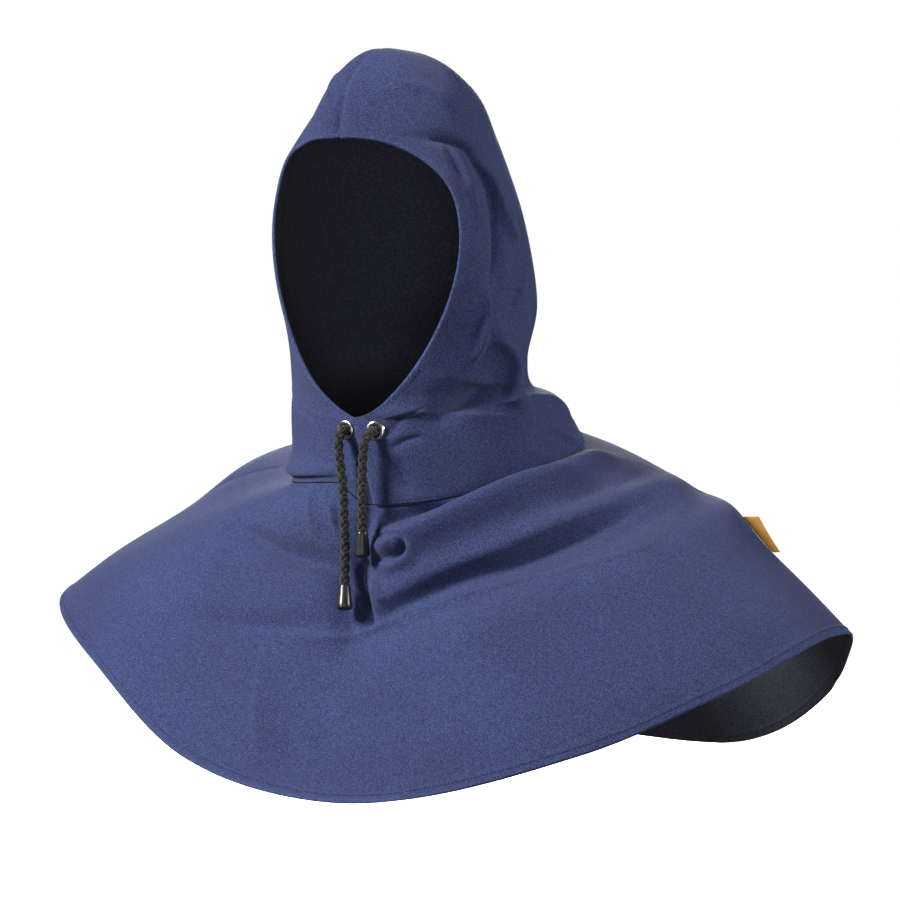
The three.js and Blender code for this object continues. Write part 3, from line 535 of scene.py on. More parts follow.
@dataclass
class HoodSurface:
    """The outside of one hood panel.

    A place is (share from the rim or front edge to the centre seam, level from neck to brow).
    """

    side: Side

    def __post_init__(self) -> None:
        """Builds the seam's table, tied to the neck and the brow at its ends."""
        rows = HOOD_SECTIONS
        level = np.array([0, *(r.level for r in rows), 1])
        base = HOOD.neck_width / 2 + (HOOD.half - HOOD.neck_width / 2) * ease(level / 0.25)
        width = np.array([1, *(r.width for r in rows), 0]) * base
        self.rows = {
            "level": level,
            "x": -HOOD.seam_sway * np.array([0, *(r.sway for r in rows), 1]),
            "y": np.array(
                [HOOD.front, *(-HOOD.front + r.back * HOOD.depth for r in rows), -HOOD.front]
            ),
            "z": np.array([HOOD.neck_rise, *(r.rise * HOOD.height for r in rows), HOOD.brow]),
            "width": width,
            "point": np.array([1, *(r.point for r in rows), 1]),
        }
        folds = LEFT_FOLDS + LEFT_CREASES if self.side is Side.LEFT else RIGHT_FOLDS + RIGHT_CREASES
        scale = (HOOD.half + HOOD.depth * 0.62, HOOD.chin_height + HOOD.opening_height * 1.45)
        self.folds = FoldField(folds, scale)

    def seam(self, name: str, level: Array) -> Array:
        """One column of the centre seam's table at levels."""
        return column(self.rows["level"], self.rows[name], level)

    def rim(self, level: Array) -> Array:
        """The front edge below the chin and the rim of the face opening above it.

        Args:
            level: Levels from the neck, 0, to the brow, 1.

        Returns:
            The points, [.., xyz].
        """
        sign = self.side.value
        chin = HOOD.chin_level
        turn = np.pi * np.clip((level - chin) / (1 - chin), 0, 1)
        below = np.clip(1 - level / chin, 0, 1)
        sine = np.abs(np.sin(turn))
        under = HOOD.underlap * (1 - ease(turn / np.radians(25))) if sign < 0 else 0.0
        sway = HOOD.seam_sway * ease((turn / np.pi - 0.6) / 0.4)
        tilt = HOOD.lap_slant * below**HOOD.lap_bend
        x = sign * HOOD.opening_width / 2 * sine**0.75 + tilt + under - sway
        rounded = np.sqrt(1 - np.minimum(1, (x / (HOOD.neck_width / 2)) ** 2))
        foot = HOOD.neck_rise * (1 - rounded) / 2
        opening = HOOD.chin_height + HOOD.opening_height * ((1 - np.cos(turn)) / 2) ** 0.63
        y = np.where(below > 0, -HOOD.front * rounded, -HOOD.front + HOOD.rim_recess * sine**1.2)
        z = np.where(below > 0, HOOD.chin_height + (foot - HOOD.chin_height) * below, opening)
        return np.stack([x, y, z], axis=-1)

    def section(self, level: Array) -> tuple[Array, Array, Array, Array, Array]:
        """Rim point, seam point, reach, point exponent and starting turn of sections.

        Args:
            level: Levels from the neck, 0, to the brow, 1.

        Returns:
            Those five, each with a value for every level.
        """
        front = self.rim(level)
        seam = np.stack([self.seam(name, level) for name in "xyz"], axis=-1)
        middle = -HOOD.seam_sway * ease((level - 0.88) / 0.12)
        half = np.maximum(self.seam("width", level), 0.01)
        reach = self.side.value * half + middle - seam[..., 0]
        point = self.seam("point", level)
        ratio = np.clip((front[..., 0] - seam[..., 0]) / reach, -0.999, 0.999)
        start = np.arccos(np.sign(ratio) * np.abs(ratio) ** (1 / point))
        return front, seam, reach, point, start

    def base(self, across: Array, level: Array) -> Array:
        """The smooth panel: an arc of an ellipse from the rim out to the cheek and to the seam.

        Args:
            across: Shares from the rim or front edge to the centre seam.
            level: Levels from the neck, 0, to the brow, 1.

        Returns:
            The points, [.., xyz].
        """
        front, seam, reach, point, start = self.section(level)
        turn = -start + (np.pi / 2 + start) * across
        cosine = np.cos(turn)
        along = (np.sin(turn) + np.sin(start)) / (1 + np.sin(start))
        p = front + (seam - front) * along[..., None]
        p[..., 0] = seam[..., 0] + reach * np.sign(cosine) * np.abs(cosine) ** point
        angle = self.side.value * np.degrees(turn + np.pi / 2)
        p[..., 2] += neck_lift(angle) * np.clip(1 - level / HOOD.chin_level, 0, 1)
        return p

    def across_at(self, level: float, x: float) -> float:
        """The share across a section at which it passes a given x, near the front.

        Args:
            level: The section's level.
            x: In the neck frame.

        Returns:
            The share.
        """
        _, seam, reach, _, start = self.section(np.array(level))
        return float((start - np.arccos((x - seam[0]) / reach)) / (np.pi / 2 + start))

    def lap(self, across: Array, level: Array, base: Array) -> Array:
        """How far the left front stands out to lap over the right one.

        Args:
            across: Shares from the rim or front edge to the centre seam.
            level: Levels from the neck, 0, to the brow, 1.
            base: The smooth panel's points there.

        Returns:
            Millimetres along the normal.
        """
        if self.side is Side.RIGHT:
            return np.zeros_like(level)
        edge = self.rim(level)[..., 0]
        near = ease(1 - (base[..., 0] - edge - HOOD.underlap - 16) / 30)
        low = ease((0.27 - level) / 0.06)
        return (CLOTH.hem + CLOTH.lap_gap) * near * low * (across < 0.5)

    def at(self, across: Array, level: Array) -> Array:
        """The outside with its folds, its lap and its gap at the neck seam.

        Args:
            across: Shares from the rim or front edge to the centre seam.
            level: Levels from the neck, 0, to the brow, 1.

        Returns:
            The points, [.., xyz].
        """
        across, level = np.broadcast_arrays(np.asarray(across, float), np.asarray(level, float))
        p = self.base(across, level)
        calm = ease((1 - across) / 0.08) * ease(level / 0.03) * ease((1 - level) / 0.04)
        height, droop = self.folds.at(across, level)
        amount = height * calm + self.lap(across, level, p)
        facing = normals(self.base, across, np.minimum(level, 0.99), self.side.value)
        p = p + facing * amount[..., None]
        p[..., 2] += CLOTH.neck_gap * (1 - ease(level / 0.05)) - droop * calm
        return p

    def normal(self, across: Array, level: Array) -> Array:
        """Outward normals of the outside."""
        return normals(self.at, across, np.minimum(level, 0.985), self.side.value)


@dataclass
class CapeSurface:
    """The outside of the cape. A place is (angle from the front, share from neck to hem)."""

    def __post_init__(self) -> None:
        """Prepares the fold field on the cape's chart."""
        half = HOOD.neck_width / 2
        per_degree = math.radians(1) * (half + CAPE.width / 2) * 0.42
        self.folds = FoldField(CAPE_FOLDS + CAPE_CREASES, (per_degree, CAPE.length(half)))
        self.angles = np.array([d.angle for d in CAPE_DIRECTIONS], float)

    def row(self, name: str, angle: Array) -> Array:
        """One column of the directions' table at angles.

        Args:
            name: The column.
            angle: Angles from the front, in degrees.

        Returns:
            The column's values.
        """
        values = np.array([getattr(d, name) for d in CAPE_DIRECTIONS])
        return column(self.angles, values, angle, 360.0)

    def base(self, angle: Array, share: Array) -> Array:
        """The smooth cape: from the neck seam out and down to the hem, on two power curves.

        Args:
            angle: Angles from the front, in degrees.
            share: Shares from the neck, 0, to the hem, 1.

        Returns:
            The points, [.., xyz].
        """
        angle, share = np.broadcast_arrays(np.asarray(angle, float), np.asarray(share, float))
        top = neck_seam(angle)
        turn = np.radians(angle)
        reach = self.row("reach", angle)
        x = CAPE.width / 2 * reach * np.sin(turn)
        y = CAPE.shift - CAPE.depth / 2 * reach * np.cos(turn)
        hem = np.stack([x, y, -CAPE.drop * self.row("drop", angle)], axis=-1)
        left = np.clip(1 - share, 0, 1)
        out = (1 - left ** self.row("spread", angle))[..., None]
        p = top + (hem - top) * out
        down = np.clip(share, 0, 1) ** self.row("fall", angle)
        p[..., 2] = top[..., 2] + (hem[..., 2] - top[..., 2]) * down
        return p

    def at(self, angle: Array, share: Array) -> Array:
        """The outside with its folds.

        Args:
            angle: Angles from the front, in degrees.
            share: Shares from the neck, 0, to the hem, 1.

        Returns:
            The points, [.., xyz].
        """
        angle, share = np.broadcast_arrays(np.asarray(angle, float), np.asarray(share, float))
        height, droop = self.folds.at(angle, share, (-360.0, 0.0, 360.0))
        fade = ease(share / 0.03)
        p = self.base(angle, share)
        p = p + normals(self.base, angle, share, -1, 1.0) * (height * fade)[..., None]
        p[..., 2] -= droop * fade
        return p

    def normal(self, angle: Array, share: Array) -> Array:
        """Outward normals of the outside."""
        return normals(self.at, angle, share, -1, 1.0)


def normals(
    surface: Callable[[Array, Array], Array], u: Array, v: Array, facing: int, u_step: float = 0.004
) -> Array:
    """Outward normals, as the cross product of two short steps on a surface.

    Args:
        surface: Gives points at places (u, v).
        u: The first place.
        v: The second place, held to 0..1.
        facing: 1 if u x v faces outward, -1 if it faces inward.
        u_step: Half the step in u. Below 0.5, u is held to 0..1.

    Returns:
        The normals, [.., xyz].
    """
    v_step = 0.004
    limit = u_step < 0.5
    u_low, u_high = u - u_step, u + u_step
    if limit:
        u_low, u_high = np.maximum(u_low, 0), np.minimum(u_high, 1)
    du = surface(u_high, v) - surface(u_low, v)
    dv = surface(u, np.minimum(v + v_step, 1)) - surface(u, np.maximum(v - v_step, 0))
    return unit(np.cross(du, dv)) * facing


# Meshes.


def to_row(points: Array, origin: Array) -> Array:
    """Neck-frame millimetres to row-frame metres."""
    return (points - origin) * MM


def mesh_object(
    name: str,
    points: Array,
    quads: Array,
    triangles: Array | None = None,
    attributes: dict[str, Array] | None = None,
) -> bpy.types.Object:
    """A smooth-shaded mesh object from arrays.

    Args:
        name: The object's name.
        points: Vertices, in metres.
        quads: Vertex numbers of the four-sided faces, one row each.
        triangles: Vertex numbers of the three-sided faces, or None.
        attributes: Point values by name, each one number or three numbers a vertex.

    Returns:
        The object, linked to the scene, at the origin.
    """
    triangles = np.zeros((0, 3), int) if triangles is None else triangles
    loops = np.concatenate([quads.ravel(), triangles.ravel()]).astype(np.int32)
    sizes = np.concatenate([np.full(len(quads), 4), np.full(len(triangles), 3)])
    starts = np.concatenate([[0], np.cumsum(sizes)[:-1]]).astype(np.int32)
    mesh = bpy.data.meshes.new(name)
    mesh.vertices.add(len(points))
    mesh.vertices.foreach_set("co", np.asarray(points, np.float32).ravel())
    mesh.loops.add(len(loops))
    mesh.loops.foreach_set("vertex_index", loops)
    mesh.polygons.add(len(sizes))
    mesh.polygons.foreach_set("loop_start", starts)
    mesh.polygons.foreach_set("use_smooth", np.ones(len(sizes), bool))
    mesh.update(calc_edges=True)
    for key, values in (attributes or {}).items():
        vector = values.ndim == 2
        kind, slot = ("FLOAT_VECTOR", "vector") if vector else ("FLOAT", "value")
        layer = mesh.attributes.new(key, kind, "POINT")
        layer.data.foreach_set(slot, np.asarray(values, np.float32).ravel())
    mesh.validate()
    obj = bpy.data.objects.new(name, mesh)
    bpy.context.scene.collection.objects.link(obj)
    return obj


def lengths(points: Array, axis: int) -> Array:
    """Lengths along a grid's lines, from the middle of each line.

    Args:
        points: A grid of points, [column, row, xyz].
        axis: 0 along the columns' row, 1 along the rows' column.

    Returns:
        The length at each point, 0 in the middle.
    """
    step = np.linalg.norm(np.diff(points, axis=axis), axis=-1)
    total = np.cumsum(step, axis=axis)
    pad = [(0, 0), (0, 0)]
    pad[axis] = (1, 0)
    total = np.pad(total, pad)
    return total - np.take(total, [total.shape[axis] // 2], axis=axis)


@dataclass
class ClothWall:
    """A cloth wall on a grid, with rounded edges.

    Attributes:
        outer: Points of the outside, [column, row, xyz], in millimetres.
        normal: Outward normals there.
        thickness: The wall there, in millimetres.
        edge: How near a turned edge each point is, 0 to 1; the cloth's shader paints a highlight
            there.
        flip: Whether the grid's own facing is inward.
    """

    outer: Array
    normal: Array
    thickness: Array
    edge: Array
    flip: bool

    def build(self, name: str, origin: Array) -> bpy.types.Object:
        """The closed mesh: two skins joined by a half-round strip along all four edges.

        Args:
            name: The object's name.
            origin: The row frame's origin.

        Returns:
            The object, with its chart, edge and inside attributes.
        """
        nu, nv = self.outer.shape[:2]
        inner = self.outer - self.normal * self.thickness[..., None]
        middle = (self.outer + inner) / 2
        half = self.thickness[..., None] / 2
        strips = {
            "low": middle[:, 0] + unit(middle[:, 0] - middle[:, 1]) * half[:, 0],
            "high": middle[:, -1] + unit(middle[:, -1] - middle[:, -2]) * half[:, -1],
            "start": middle[0] + unit(middle[0] - middle[1]) * half[0],
            "end": middle[-1] + unit(middle[-1] - middle[-2]) * half[-1],
        }
        count = nu * nv
        out = np.arange(count).reshape(nu, nv)
        inn = out + count
        marks, place = {}, 2 * count
        for key, strip in strips.items():
            marks[key] = np.arange(place, place + len(strip))
            place += len(strip)
        faces = [self.skin(out), self.skin(inn)[:, ::-1]]
        for key, a, b in (
            ("low", out[:, 0], inn[:, 0]),
            ("high", inn[:, -1], out[:, -1]),
            ("start", inn[0], out[0]),
            ("end", out[-1], inn[-1]),
        ):
            mid = marks[key]
            faces.append(np.stack([a[1:], a[:-1], mid[:-1], mid[1:]], axis=1))
            faces.append(np.stack([mid[1:], mid[:-1], b[:-1], b[1:]], axis=1))
        low, high, start, end = (marks[k] for k in ("low", "high", "start", "end"))
        faces.append(
            np.array(
                [
                    [out[0, 0], start[0], inn[0, 0], low[0]],
                    [out[-1, 0], low[-1], inn[-1, 0], end[0]],
                    [out[-1, -1], end[-1], inn[-1, -1], high[-1]],
                    [out[0, -1], high[0], inn[0, -1], start[-1]],
                ]
            )
        )
        quads = np.concatenate(faces)
        if self.flip:
            quads = quads[:, ::-1]
        ends = [self.edge[:, 0], self.edge[:, -1], self.edge[0], self.edge[-1]]
        points = np.concatenate([self.outer.reshape(-1, 3), inner.reshape(-1, 3), *strips.values()])
        chart = np.stack(
            [lengths(self.outer, 0), lengths(self.outer, 1), np.zeros((nu, nv))], axis=-1
        )
        charts = [chart, chart, chart[:, 0], chart[:, -1], chart[0], chart[-1]]
        inside = np.concatenate([np.zeros(count), np.ones(count), np.zeros(2 * (nu + nv))])
        return mesh_object(
            name,
            to_row(points, origin),
            quads,
            attributes={
                "chart": np.concatenate([c.reshape(-1, 3) for c in charts]) * MM,
                "edge": np.concatenate([self.edge.ravel(), self.edge.ravel(), *ends]),
                "inside": inside,
            },
        )

    @staticmethod
    def skin(ids: Array) -> Array:
        """The quads of a grid of vertex numbers."""
        a, b = ids[:-1, :-1], ids[1:, :-1]
        c, d = ids[1:, 1:], ids[:-1, 1:]
        return np.stack([a, b, c, d], axis=-1).reshape(-1, 4)


def from_line(points: Array, line: Array) -> Array:
    """Distance of each point of a grid from the nearest point of a line."""
    return np.min(np.linalg.norm(points[:, :, None] - line, axis=-1), axis=2)


def along(line: Array) -> Array:
    """Length from a line's start to each of its points."""
    steps = np.linalg.norm(np.diff(line, axis=0), axis=1)
    return np.concatenate([[0], np.cumsum(steps)])


def frame_along(path: Array) -> tuple[Array, Array]:
    """Unit vectors square to a path, carried along it.

    Args:
        path: Points, none of whose steps runs along X.

    Returns:
        The side vector and the up vector at each point.
    """
    ahead = unit(np.gradient(path, axis=0))
    side = unit(np.cross(ahead, np.array([1.0, 0.02, 0.03])))
    return side, np.cross(side, ahead)


def spokes(side: Array, up: Array, turn: Array) -> Array:
    """Unit vectors at a turn between a side and an up vector: side cos + up sin."""
    return side * np.cos(turn)[..., None] + up * np.sin(turn)[..., None]


def belt(ids: Array) -> Array:
    """Quads between neighbouring rings of vertex numbers, [.., ring, place on it]."""
    nxt = np.roll(ids, -1, axis=-1)
    corners = [ids[..., :-1, :], nxt[..., :-1, :], nxt[..., 1:, :], ids[..., 1:, :]]
    return np.stack(corners, axis=-1).reshape(-1, 4)


def tube_rings(path: Array, radius: float, sides: int) -> Array:
    """Rings of points round a path.

    Args:
        path: The middle line.
        radius: The tube's radius, in the path's unit.
        sides: Points on each ring.

    Returns:
        The points, [ring, place on it, xyz].
    """
    side, up = frame_along(path)
    turn = np.linspace(0, 2 * np.pi, sides, endpoint=False)
    return path[:, None] + spokes(side[:, None], up[:, None], turn) * radius


@dataclass(frozen=True)
class Seam:
    """Sewn rows: blunt round rods of thread, a pitch apart, in millimetres."""

    pitch: float = 2.7
    length: float = 2.0
    thread: float = 0.26
    flatness: float = 1.25
    lift: float = 0.16

    def build(
        self, name: str, runs: list[tuple[Array, Array]], origin: Array
    ) -> bpy.types.Object:
        """All stitches as one joined mesh.

        A stitch's radius is the thread's times the root of 1.04 - t^2 and its lift falls as
        1 - t^2, where t goes from -1 to 1 along it.

        Args:
            name: The object's name.
            runs: Points on a surface and its normals there, a pair for each run.
            origin: The row frame's origin.

        Returns:
            The object.
        """
        places, aheads, ups = [], [], []
        for points, normal in runs:
            reach = along(points)
            at = np.arange(self.pitch, reach[-1] - self.pitch, self.pitch)
            place, later, up = (
                np.stack([np.interp(where, reach, values[:, k]) for k in range(3)], axis=-1)
                for where, values in ((at, points), (at + 0.3, points), (at, normal))
            )
            places.append(place)
            aheads.append(unit(later - place))
            ups.append(unit(up))
        place, ahead, up = (np.concatenate(x)[:, None, None] for x in (places, aheads, ups))
        side = np.cross(ahead, up)
        t = np.linspace(-1, 1, 5)[None, :, None, None]
        turn = np.linspace(0, 2 * np.pi, 6, endpoint=False)[None, None, :, None]
        radius = self.thread * np.sqrt(1.04 - t * t)
        ring = side * np.cos(turn) * self.flatness + up * np.sin(turn)
        lift = up * (self.lift - self.lift * t * t)
        points = place + ahead * t * self.length / 2 + lift + ring * radius
        ids = np.arange(len(place) * 30).reshape(-1, 5, 6)
        first, last = ids[:, 0], ids[:, -1]
        caps = [first[:, order] for order in ([3, 2, 1, 0], [5, 4, 3, 0])]
        caps += [last[:, order] for order in ([0, 1, 2, 3], [0, 3, 4, 5])]
        faces = np.concatenate([belt(ids), *caps])
        return mesh_object(name, to_row(points.reshape(-1, 3), origin), faces)


def lathe(name: str, profile: list[tuple[float, float]], sides: int = 64) -> bpy.types.Object:
    """A turned piece about Z: each profile point carried round a full turn.

    Args:
        name: The object's name.
        profile: (radius, height) pairs in metres. It loops, or starts and ends at radius 0.
        sides: Points round the turn.

    Returns:
        The object.
    """
    rows = np.array(profile)
    capped = rows[0, 0] == 0
    rings = rows[1:-1] if capped else rows
    turn = np.linspace(0, 2 * np.pi, sides, endpoint=False)
    x, y = rings[:, :1] * np.cos(turn), rings[:, :1] * np.sin(turn)
    points = np.stack([x, y, np.broadcast_to(rings[:, 1:], x.shape)], axis=-1).reshape(-1, 3)
    ids = np.arange(x.size).reshape(x.shape)
    body = ids if capped else np.concatenate([ids, ids[:1]])
    triangles = None
    if capped:
        nxt = np.roll(body, -1, axis=1)
        first, last = np.full(sides, x.size), np.full(sides, x.size + 1)
        points = np.concatenate([points, [[0, 0, rows[0, 1]], [0, 0, rows[-1, 1]]]])
        start = np.stack([first, nxt[0], body[0]], axis=1)
        end = np.stack([body[-1], nxt[-1], last], axis=1)
        triangles = np.concatenate([start, end])
    return mesh_object(name, points, belt(body), triangles)


# Shading.


@dataclass
class Nodes:
    """A short way to write a node tree."""

    tree: bpy.types.NodeTree

    def add(self, kind: str, **settings: object) -> bpy.types.Node:
        """A node with properties, and with sockets set by name through the inputs setting.

        Args:
            kind: The node's type.
            settings: Properties, and inputs, a dict of sockets.

        Returns:
            The node.
        """
        node = self.tree.nodes.new(kind)
        inputs = settings.pop("inputs", {})
        for key, value in settings.items():
            setattr(node, key, value)
        for key, value in inputs.items():
            self.set(node.inputs[key], value)
        return node

    def set(self, socket: bpy.types.NodeSocket, value: object) -> None:
        """Links a socket to another socket, or gives it a value."""
        if isinstance(value, bpy.types.NodeSocket):
            self.tree.links.new(value, socket)
        else:
            socket.default_value = value

    def math(self, operation: str, *values: object) -> Socket:
        """The result of a math node.

        Args:
            operation: What is done.
            values: Numbers or sockets.

        Returns:
            The result's socket.
        """
        node = self.add("ShaderNodeMath", operation=operation)
        for socket, value in zip(node.inputs, values):
            self.set(socket, value)
        return node.outputs[0]

    def mix(self, factor: object, a: object, b: object) -> Socket:
        """A mix of two colours.

        Args:
            factor: 0 for the first colour, 1 for the second.
            a: The first.
            b: The second.

        Returns:
            The mixed colour.
        """
        node = self.add("ShaderNodeMix", data_type="RGBA")
        for socket, value in zip((node.inputs[0], node.inputs[6], node.inputs[7]), (factor, a, b)):
            self.set(socket, value)
        return node.outputs[2]

    def ramp(
        self, value: object, low: float, high: float, to: tuple[float, float] = (0, 1)
    ) -> Socket:
        """A value mapped by a smooth step from one range to another.

        Args:
            value: What is mapped.
            low: The value that gives the first of the two results.
            high: The value that gives the second.
            to: The two results.

        Returns:
            The mapped value.
        """
        names = ("Value", "From Min", "From Max", "To Min", "To Max")
        inputs = dict(zip(names, (value, low, high, *to)))
        node = self.add("ShaderNodeMapRange", interpolation_type="SMOOTHSTEP", inputs=inputs)
        return node.outputs[0]

    def noise(
        self, vector: object, scale: float, detail: float = 2.0, rough: float = 0.5
    ) -> Socket:
        """Noise on a vector.

        Args:
            vector: The place.
            scale: Features in a metre, about.
            detail: Finer layers on top.
            rough: How strong each finer layer is.

        Returns:
            The noise, about 0.5 in the mean.
        """
        inputs = {"Vector": vector, "Scale": scale, "Detail": detail, "Roughness": rough}
        return self.add("ShaderNodeTexNoise", inputs=inputs).outputs[0]

    def bump(self, strength: float, distance: float, height: Socket) -> Socket:
        """The normal of a surface with a height on it, whose full rise is a distance in metres."""
        inputs = {"Strength": strength, "Distance": distance, "Height": height}
        return self.add("ShaderNodeBump", inputs=inputs).outputs[0]


def rgba(colour: Colour, scale: float = 1.0) -> tuple[float, float, float, float]:
    """A scaled colour with full opacity."""
    return (*(c * scale for c in colour), 1)


def group(
    name: str, inputs: dict[str, str], outputs: dict[str, str]
) -> tuple[bpy.types.NodeTree, Nodes]:
    """A new shader node group with named sockets, and its writer.

    Args:
        name: The group's name.
        inputs: Socket types by name.
        outputs: Socket types by name.

    Returns:
        The group and its writer.
    """
    tree = bpy.data.node_groups.new(name, "ShaderNodeTree")
    for direction, sockets in (("INPUT", inputs), ("OUTPUT", outputs)):
        for key, kind in sockets.items():
            tree.interface.new_socket(name=key, in_out=direction, socket_type=kind)
    return tree, Nodes(tree)


@dataclass
class Effects:
    """Shared shader node groups, each built once."""

    made: dict[str, bpy.types.NodeTree] = field(default_factory=dict)

    def twill(self) -> bpy.types.NodeTree:
        """Diagonal twill lines crossed by threads, as a height, and the uneven yarn's tone.

        Returns:
            The group.
        """
        if "twill" not in self.made:
            kind = "NodeSocketFloat"
            tree, n = group(
                "TwillWeave",
                {"Chart": "NodeSocketVector", "Place": "NodeSocketVector", "Pitch": kind},
                {"Height": kind, "Tone": kind},
            )
            entry = n.add("NodeGroupInput")
            exit_ = n.add("NodeGroupOutput")
            chart = entry.outputs["Chart"]
            split = n.add("ShaderNodeSeparateXYZ", inputs={0: chart})
            x = n.math("DIVIDE", split.outputs[0], entry.outputs["Pitch"])
            y = n.math("DIVIDE", split.outputs[1], entry.outputs["Pitch"])
            slub = n.noise(chart, 1300.0, 2.0, 0.6)
            wander = n.math("MULTIPLY", slub, 1.6)
            diagonal = n.math("ADD", n.math("ADD", x, n.math("MULTIPLY", y, 1.15)), wander)
            line = n.math("SINE", n.math("MULTIPLY", diagonal, 2 * math.pi))
            cross = n.math("SINE", n.math("MULTIPLY", n.math("SUBTRACT", x, y), 2 * math.pi))
            both = n.math("ADD", n.math("MULTIPLY", line, 0.32), n.math("MULTIPLY", cross, 0.18))
            n.set(exit_.inputs["Height"], n.math("ADD", both, 0.5))
            place = entry.outputs["Place"]
            fleck = n.ramp(n.noise(place, 1500.0, 1.0, 0.5), 0.38, 0.66, (0.58, 1.58))
            cloud = n.ramp(n.noise(place, 420.0, 2.0, 0.6), 0.32, 0.68, (0.88, 1.10))
            n.set(exit_.inputs["Tone"], n.math("MULTIPLY", fleck, cloud))
            self.made["twill"] = tree
        return self.made["twill"]

    def wear_and_highlight(self) -> bpy.types.NodeTree:
        """Soft patches, a painted highlight along turned edges, and lint, as three factors.

        Returns:
            The group.
        """
        if "wear_and_highlight" not in self.made:
            kind = "NodeSocketFloat"
            tree, n = group(
                "ClothWearAndHighlight",
                {"Place": "NodeSocketVector", "Edge": kind},
                {"Patch": kind, "Edge Highlight": kind, "Lint": kind},
            )
            entry = n.add("NodeGroupInput")
            exit_ = n.add("NodeGroupOutput")
            place = entry.outputs["Place"]
            patch = n.ramp(n.noise(place, 11.0, 3.0, 0.55), 0.30, 0.70)
            fine = n.ramp(n.noise(place, 160.0, 2.0, 0.5), 0.30, 0.70, (0.6, 1.0))
            cells = n.add("ShaderNodeTexVoronoi", feature="F1")
            n.set(cells.inputs["Vector"], place)
            n.set(cells.inputs["Scale"], 42.0)
            n.set(cells.inputs["Randomness"], 1.0)
            speck = n.ramp(cells.outputs["Distance"], 0.026, 0.012)
            pick = n.add("ShaderNodeSeparateColor", inputs={0: cells.outputs["Color"]}).outputs[0]
            n.set(exit_.inputs["Patch"], patch)
            # Painted highlight mask: nearness to a turned edge, broken by fine noise.
            n.set(exit_.inputs["Edge Highlight"], n.math("MULTIPLY", entry.outputs["Edge"], fine))
            n.set(exit_.inputs["Lint"], n.math("MULTIPLY", speck, n.ramp(pick, 0.88, 0.92)))
            self.made["wear_and_highlight"] = tree
        return self.made["wear_and_highlight"]


EFFECTS = Effects()


def new_material(name: str) -> tuple[bpy.types.Material, Nodes, bpy.types.Node]:
    """A material with one Principled shader, its writer and that shader.

    Args:
        name: The material's name.

    Returns:
        The material, its writer and its shader.
    """
    material = bpy.data.materials.new(name)
    material.use_nodes = True
    n = Nodes(material.node_tree)
    shader = material.node_tree.nodes["Principled BSDF"]
    return material, n, shader


@dataclass(frozen=True)
class ClothFinish:
    """Cotton twill: colours are linear, lengths in metres."""

    name: str
    base: Colour
    lit: Colour
    inside: Colour
    # Painted highlight colour for turned edges.
    edge_highlight: Colour
    pitch: float = 0.0011
    sheen: float = 0.08
    sheen_tint: Colour = (1.0, 0.97, 1.0)
    weave: float = 0.55
    fluff: Colour = (0.30, 0.36, 0.50)

    def material(self) -> bpy.types.Material:
        """Builds the node material.

        Returns:
            The material.
        """
        material, n, shader = new_material(self.name)
        chart = n.add("ShaderNodeAttribute", attribute_name="chart").outputs["Vector"]
        place = n.add("ShaderNodeTexCoord").outputs["Object"]
        edge = n.add("ShaderNodeAttribute", attribute_name="edge").outputs["Fac"]
        inside = n.add("ShaderNodeAttribute", attribute_name="inside").outputs["Fac"]
        twill = n.add("ShaderNodeGroup", node_tree=EFFECTS.twill())
        n.set(twill.inputs["Chart"], chart)
        n.set(twill.inputs["Place"], place)
        n.set(twill.inputs["Pitch"], self.pitch)
        wear_and_highlight = n.add("ShaderNodeGroup", node_tree=EFFECTS.wear_and_highlight())
        n.set(wear_and_highlight.inputs["Place"], place)
        n.set(wear_and_highlight.inputs["Edge"], edge)
        colour = n.mix(wear_and_highlight.outputs["Patch"], rgba(self.base), rgba(self.lit))
        # Painted highlight: a lighter blue laid on turned edges, where light catches the rolled
        # cloth.
        colour = n.mix(n.math("MULTIPLY", wear_and_highlight.outputs["Edge Highlight"], 0.35), colour, rgba(self.edge_highlight))
        colour = n.mix(n.math("MULTIPLY", inside, 0.9), colour, rgba(self.inside))
        line = n.ramp(twill.outputs["Height"], 0, 1, (0.84, 1.16))
        shade = n.add("ShaderNodeVectorMath", operation="SCALE", inputs={0: colour})
        n.set(shade.inputs["Scale"], n.math("MULTIPLY", twill.outputs["Tone"], line))
        lint = n.math("MULTIPLY", wear_and_highlight.outputs["Lint"], 0.5)
        n.set(shader.inputs["Base Color"], n.mix(lint, shade.outputs[0], rgba(self.fluff)))
        n.set(shader.inputs["Roughness"], n.ramp(twill.outputs["Height"], 0, 1, (0.90, 0.74)))
        n.set(shader.inputs["Specular IOR Level"], 0.22)
        n.set(shader.inputs["Sheen Weight"], self.sheen)
        n.set(shader.inputs["Sheen Roughness"], 0.50)
        n.set(shader.inputs["Sheen Tint"], rgba(self.sheen_tint))
        soft = n.math("MULTIPLY", n.noise(place, 70.0, 3.0, 0.5), 0.7)
        height = n.math("ADD", soft, n.math("MULTIPLY", twill.outputs["Height"], self.weave))
        n.set(shader.inputs["Normal"], n.bump(0.6, 0.0006, height))
        return material


@dataclass(frozen=True)
class MetalFinish:
    """Plated metal with fine turning marks and handling smears."""

    name: str
    colour: Colour
    roughness: float

    def material(self) -> bpy.types.Material:
        """Builds the node material.

        Returns:
            The material.
        """
        material, n, shader = new_material(self.name)
        place = n.add("ShaderNodeTexCoord").outputs["Object"]
        smear = n.noise(place, 350.0, 3.0)
        colour = n.mix(smear, rgba(self.colour), rgba(self.colour, 0.82))
        n.set(shader.inputs["Base Color"], colour)
        n.set(shader.inputs["Metallic"], 1.0)
        smooth, dull = self.roughness, self.roughness * 1.7
        n.set(shader.inputs["Roughness"], n.ramp(smear, 0.3, 0.7, (smooth, dull)))
        n.set(shader.inputs["Normal"], n.bump(0.25, 0.0001, smear))
        return material


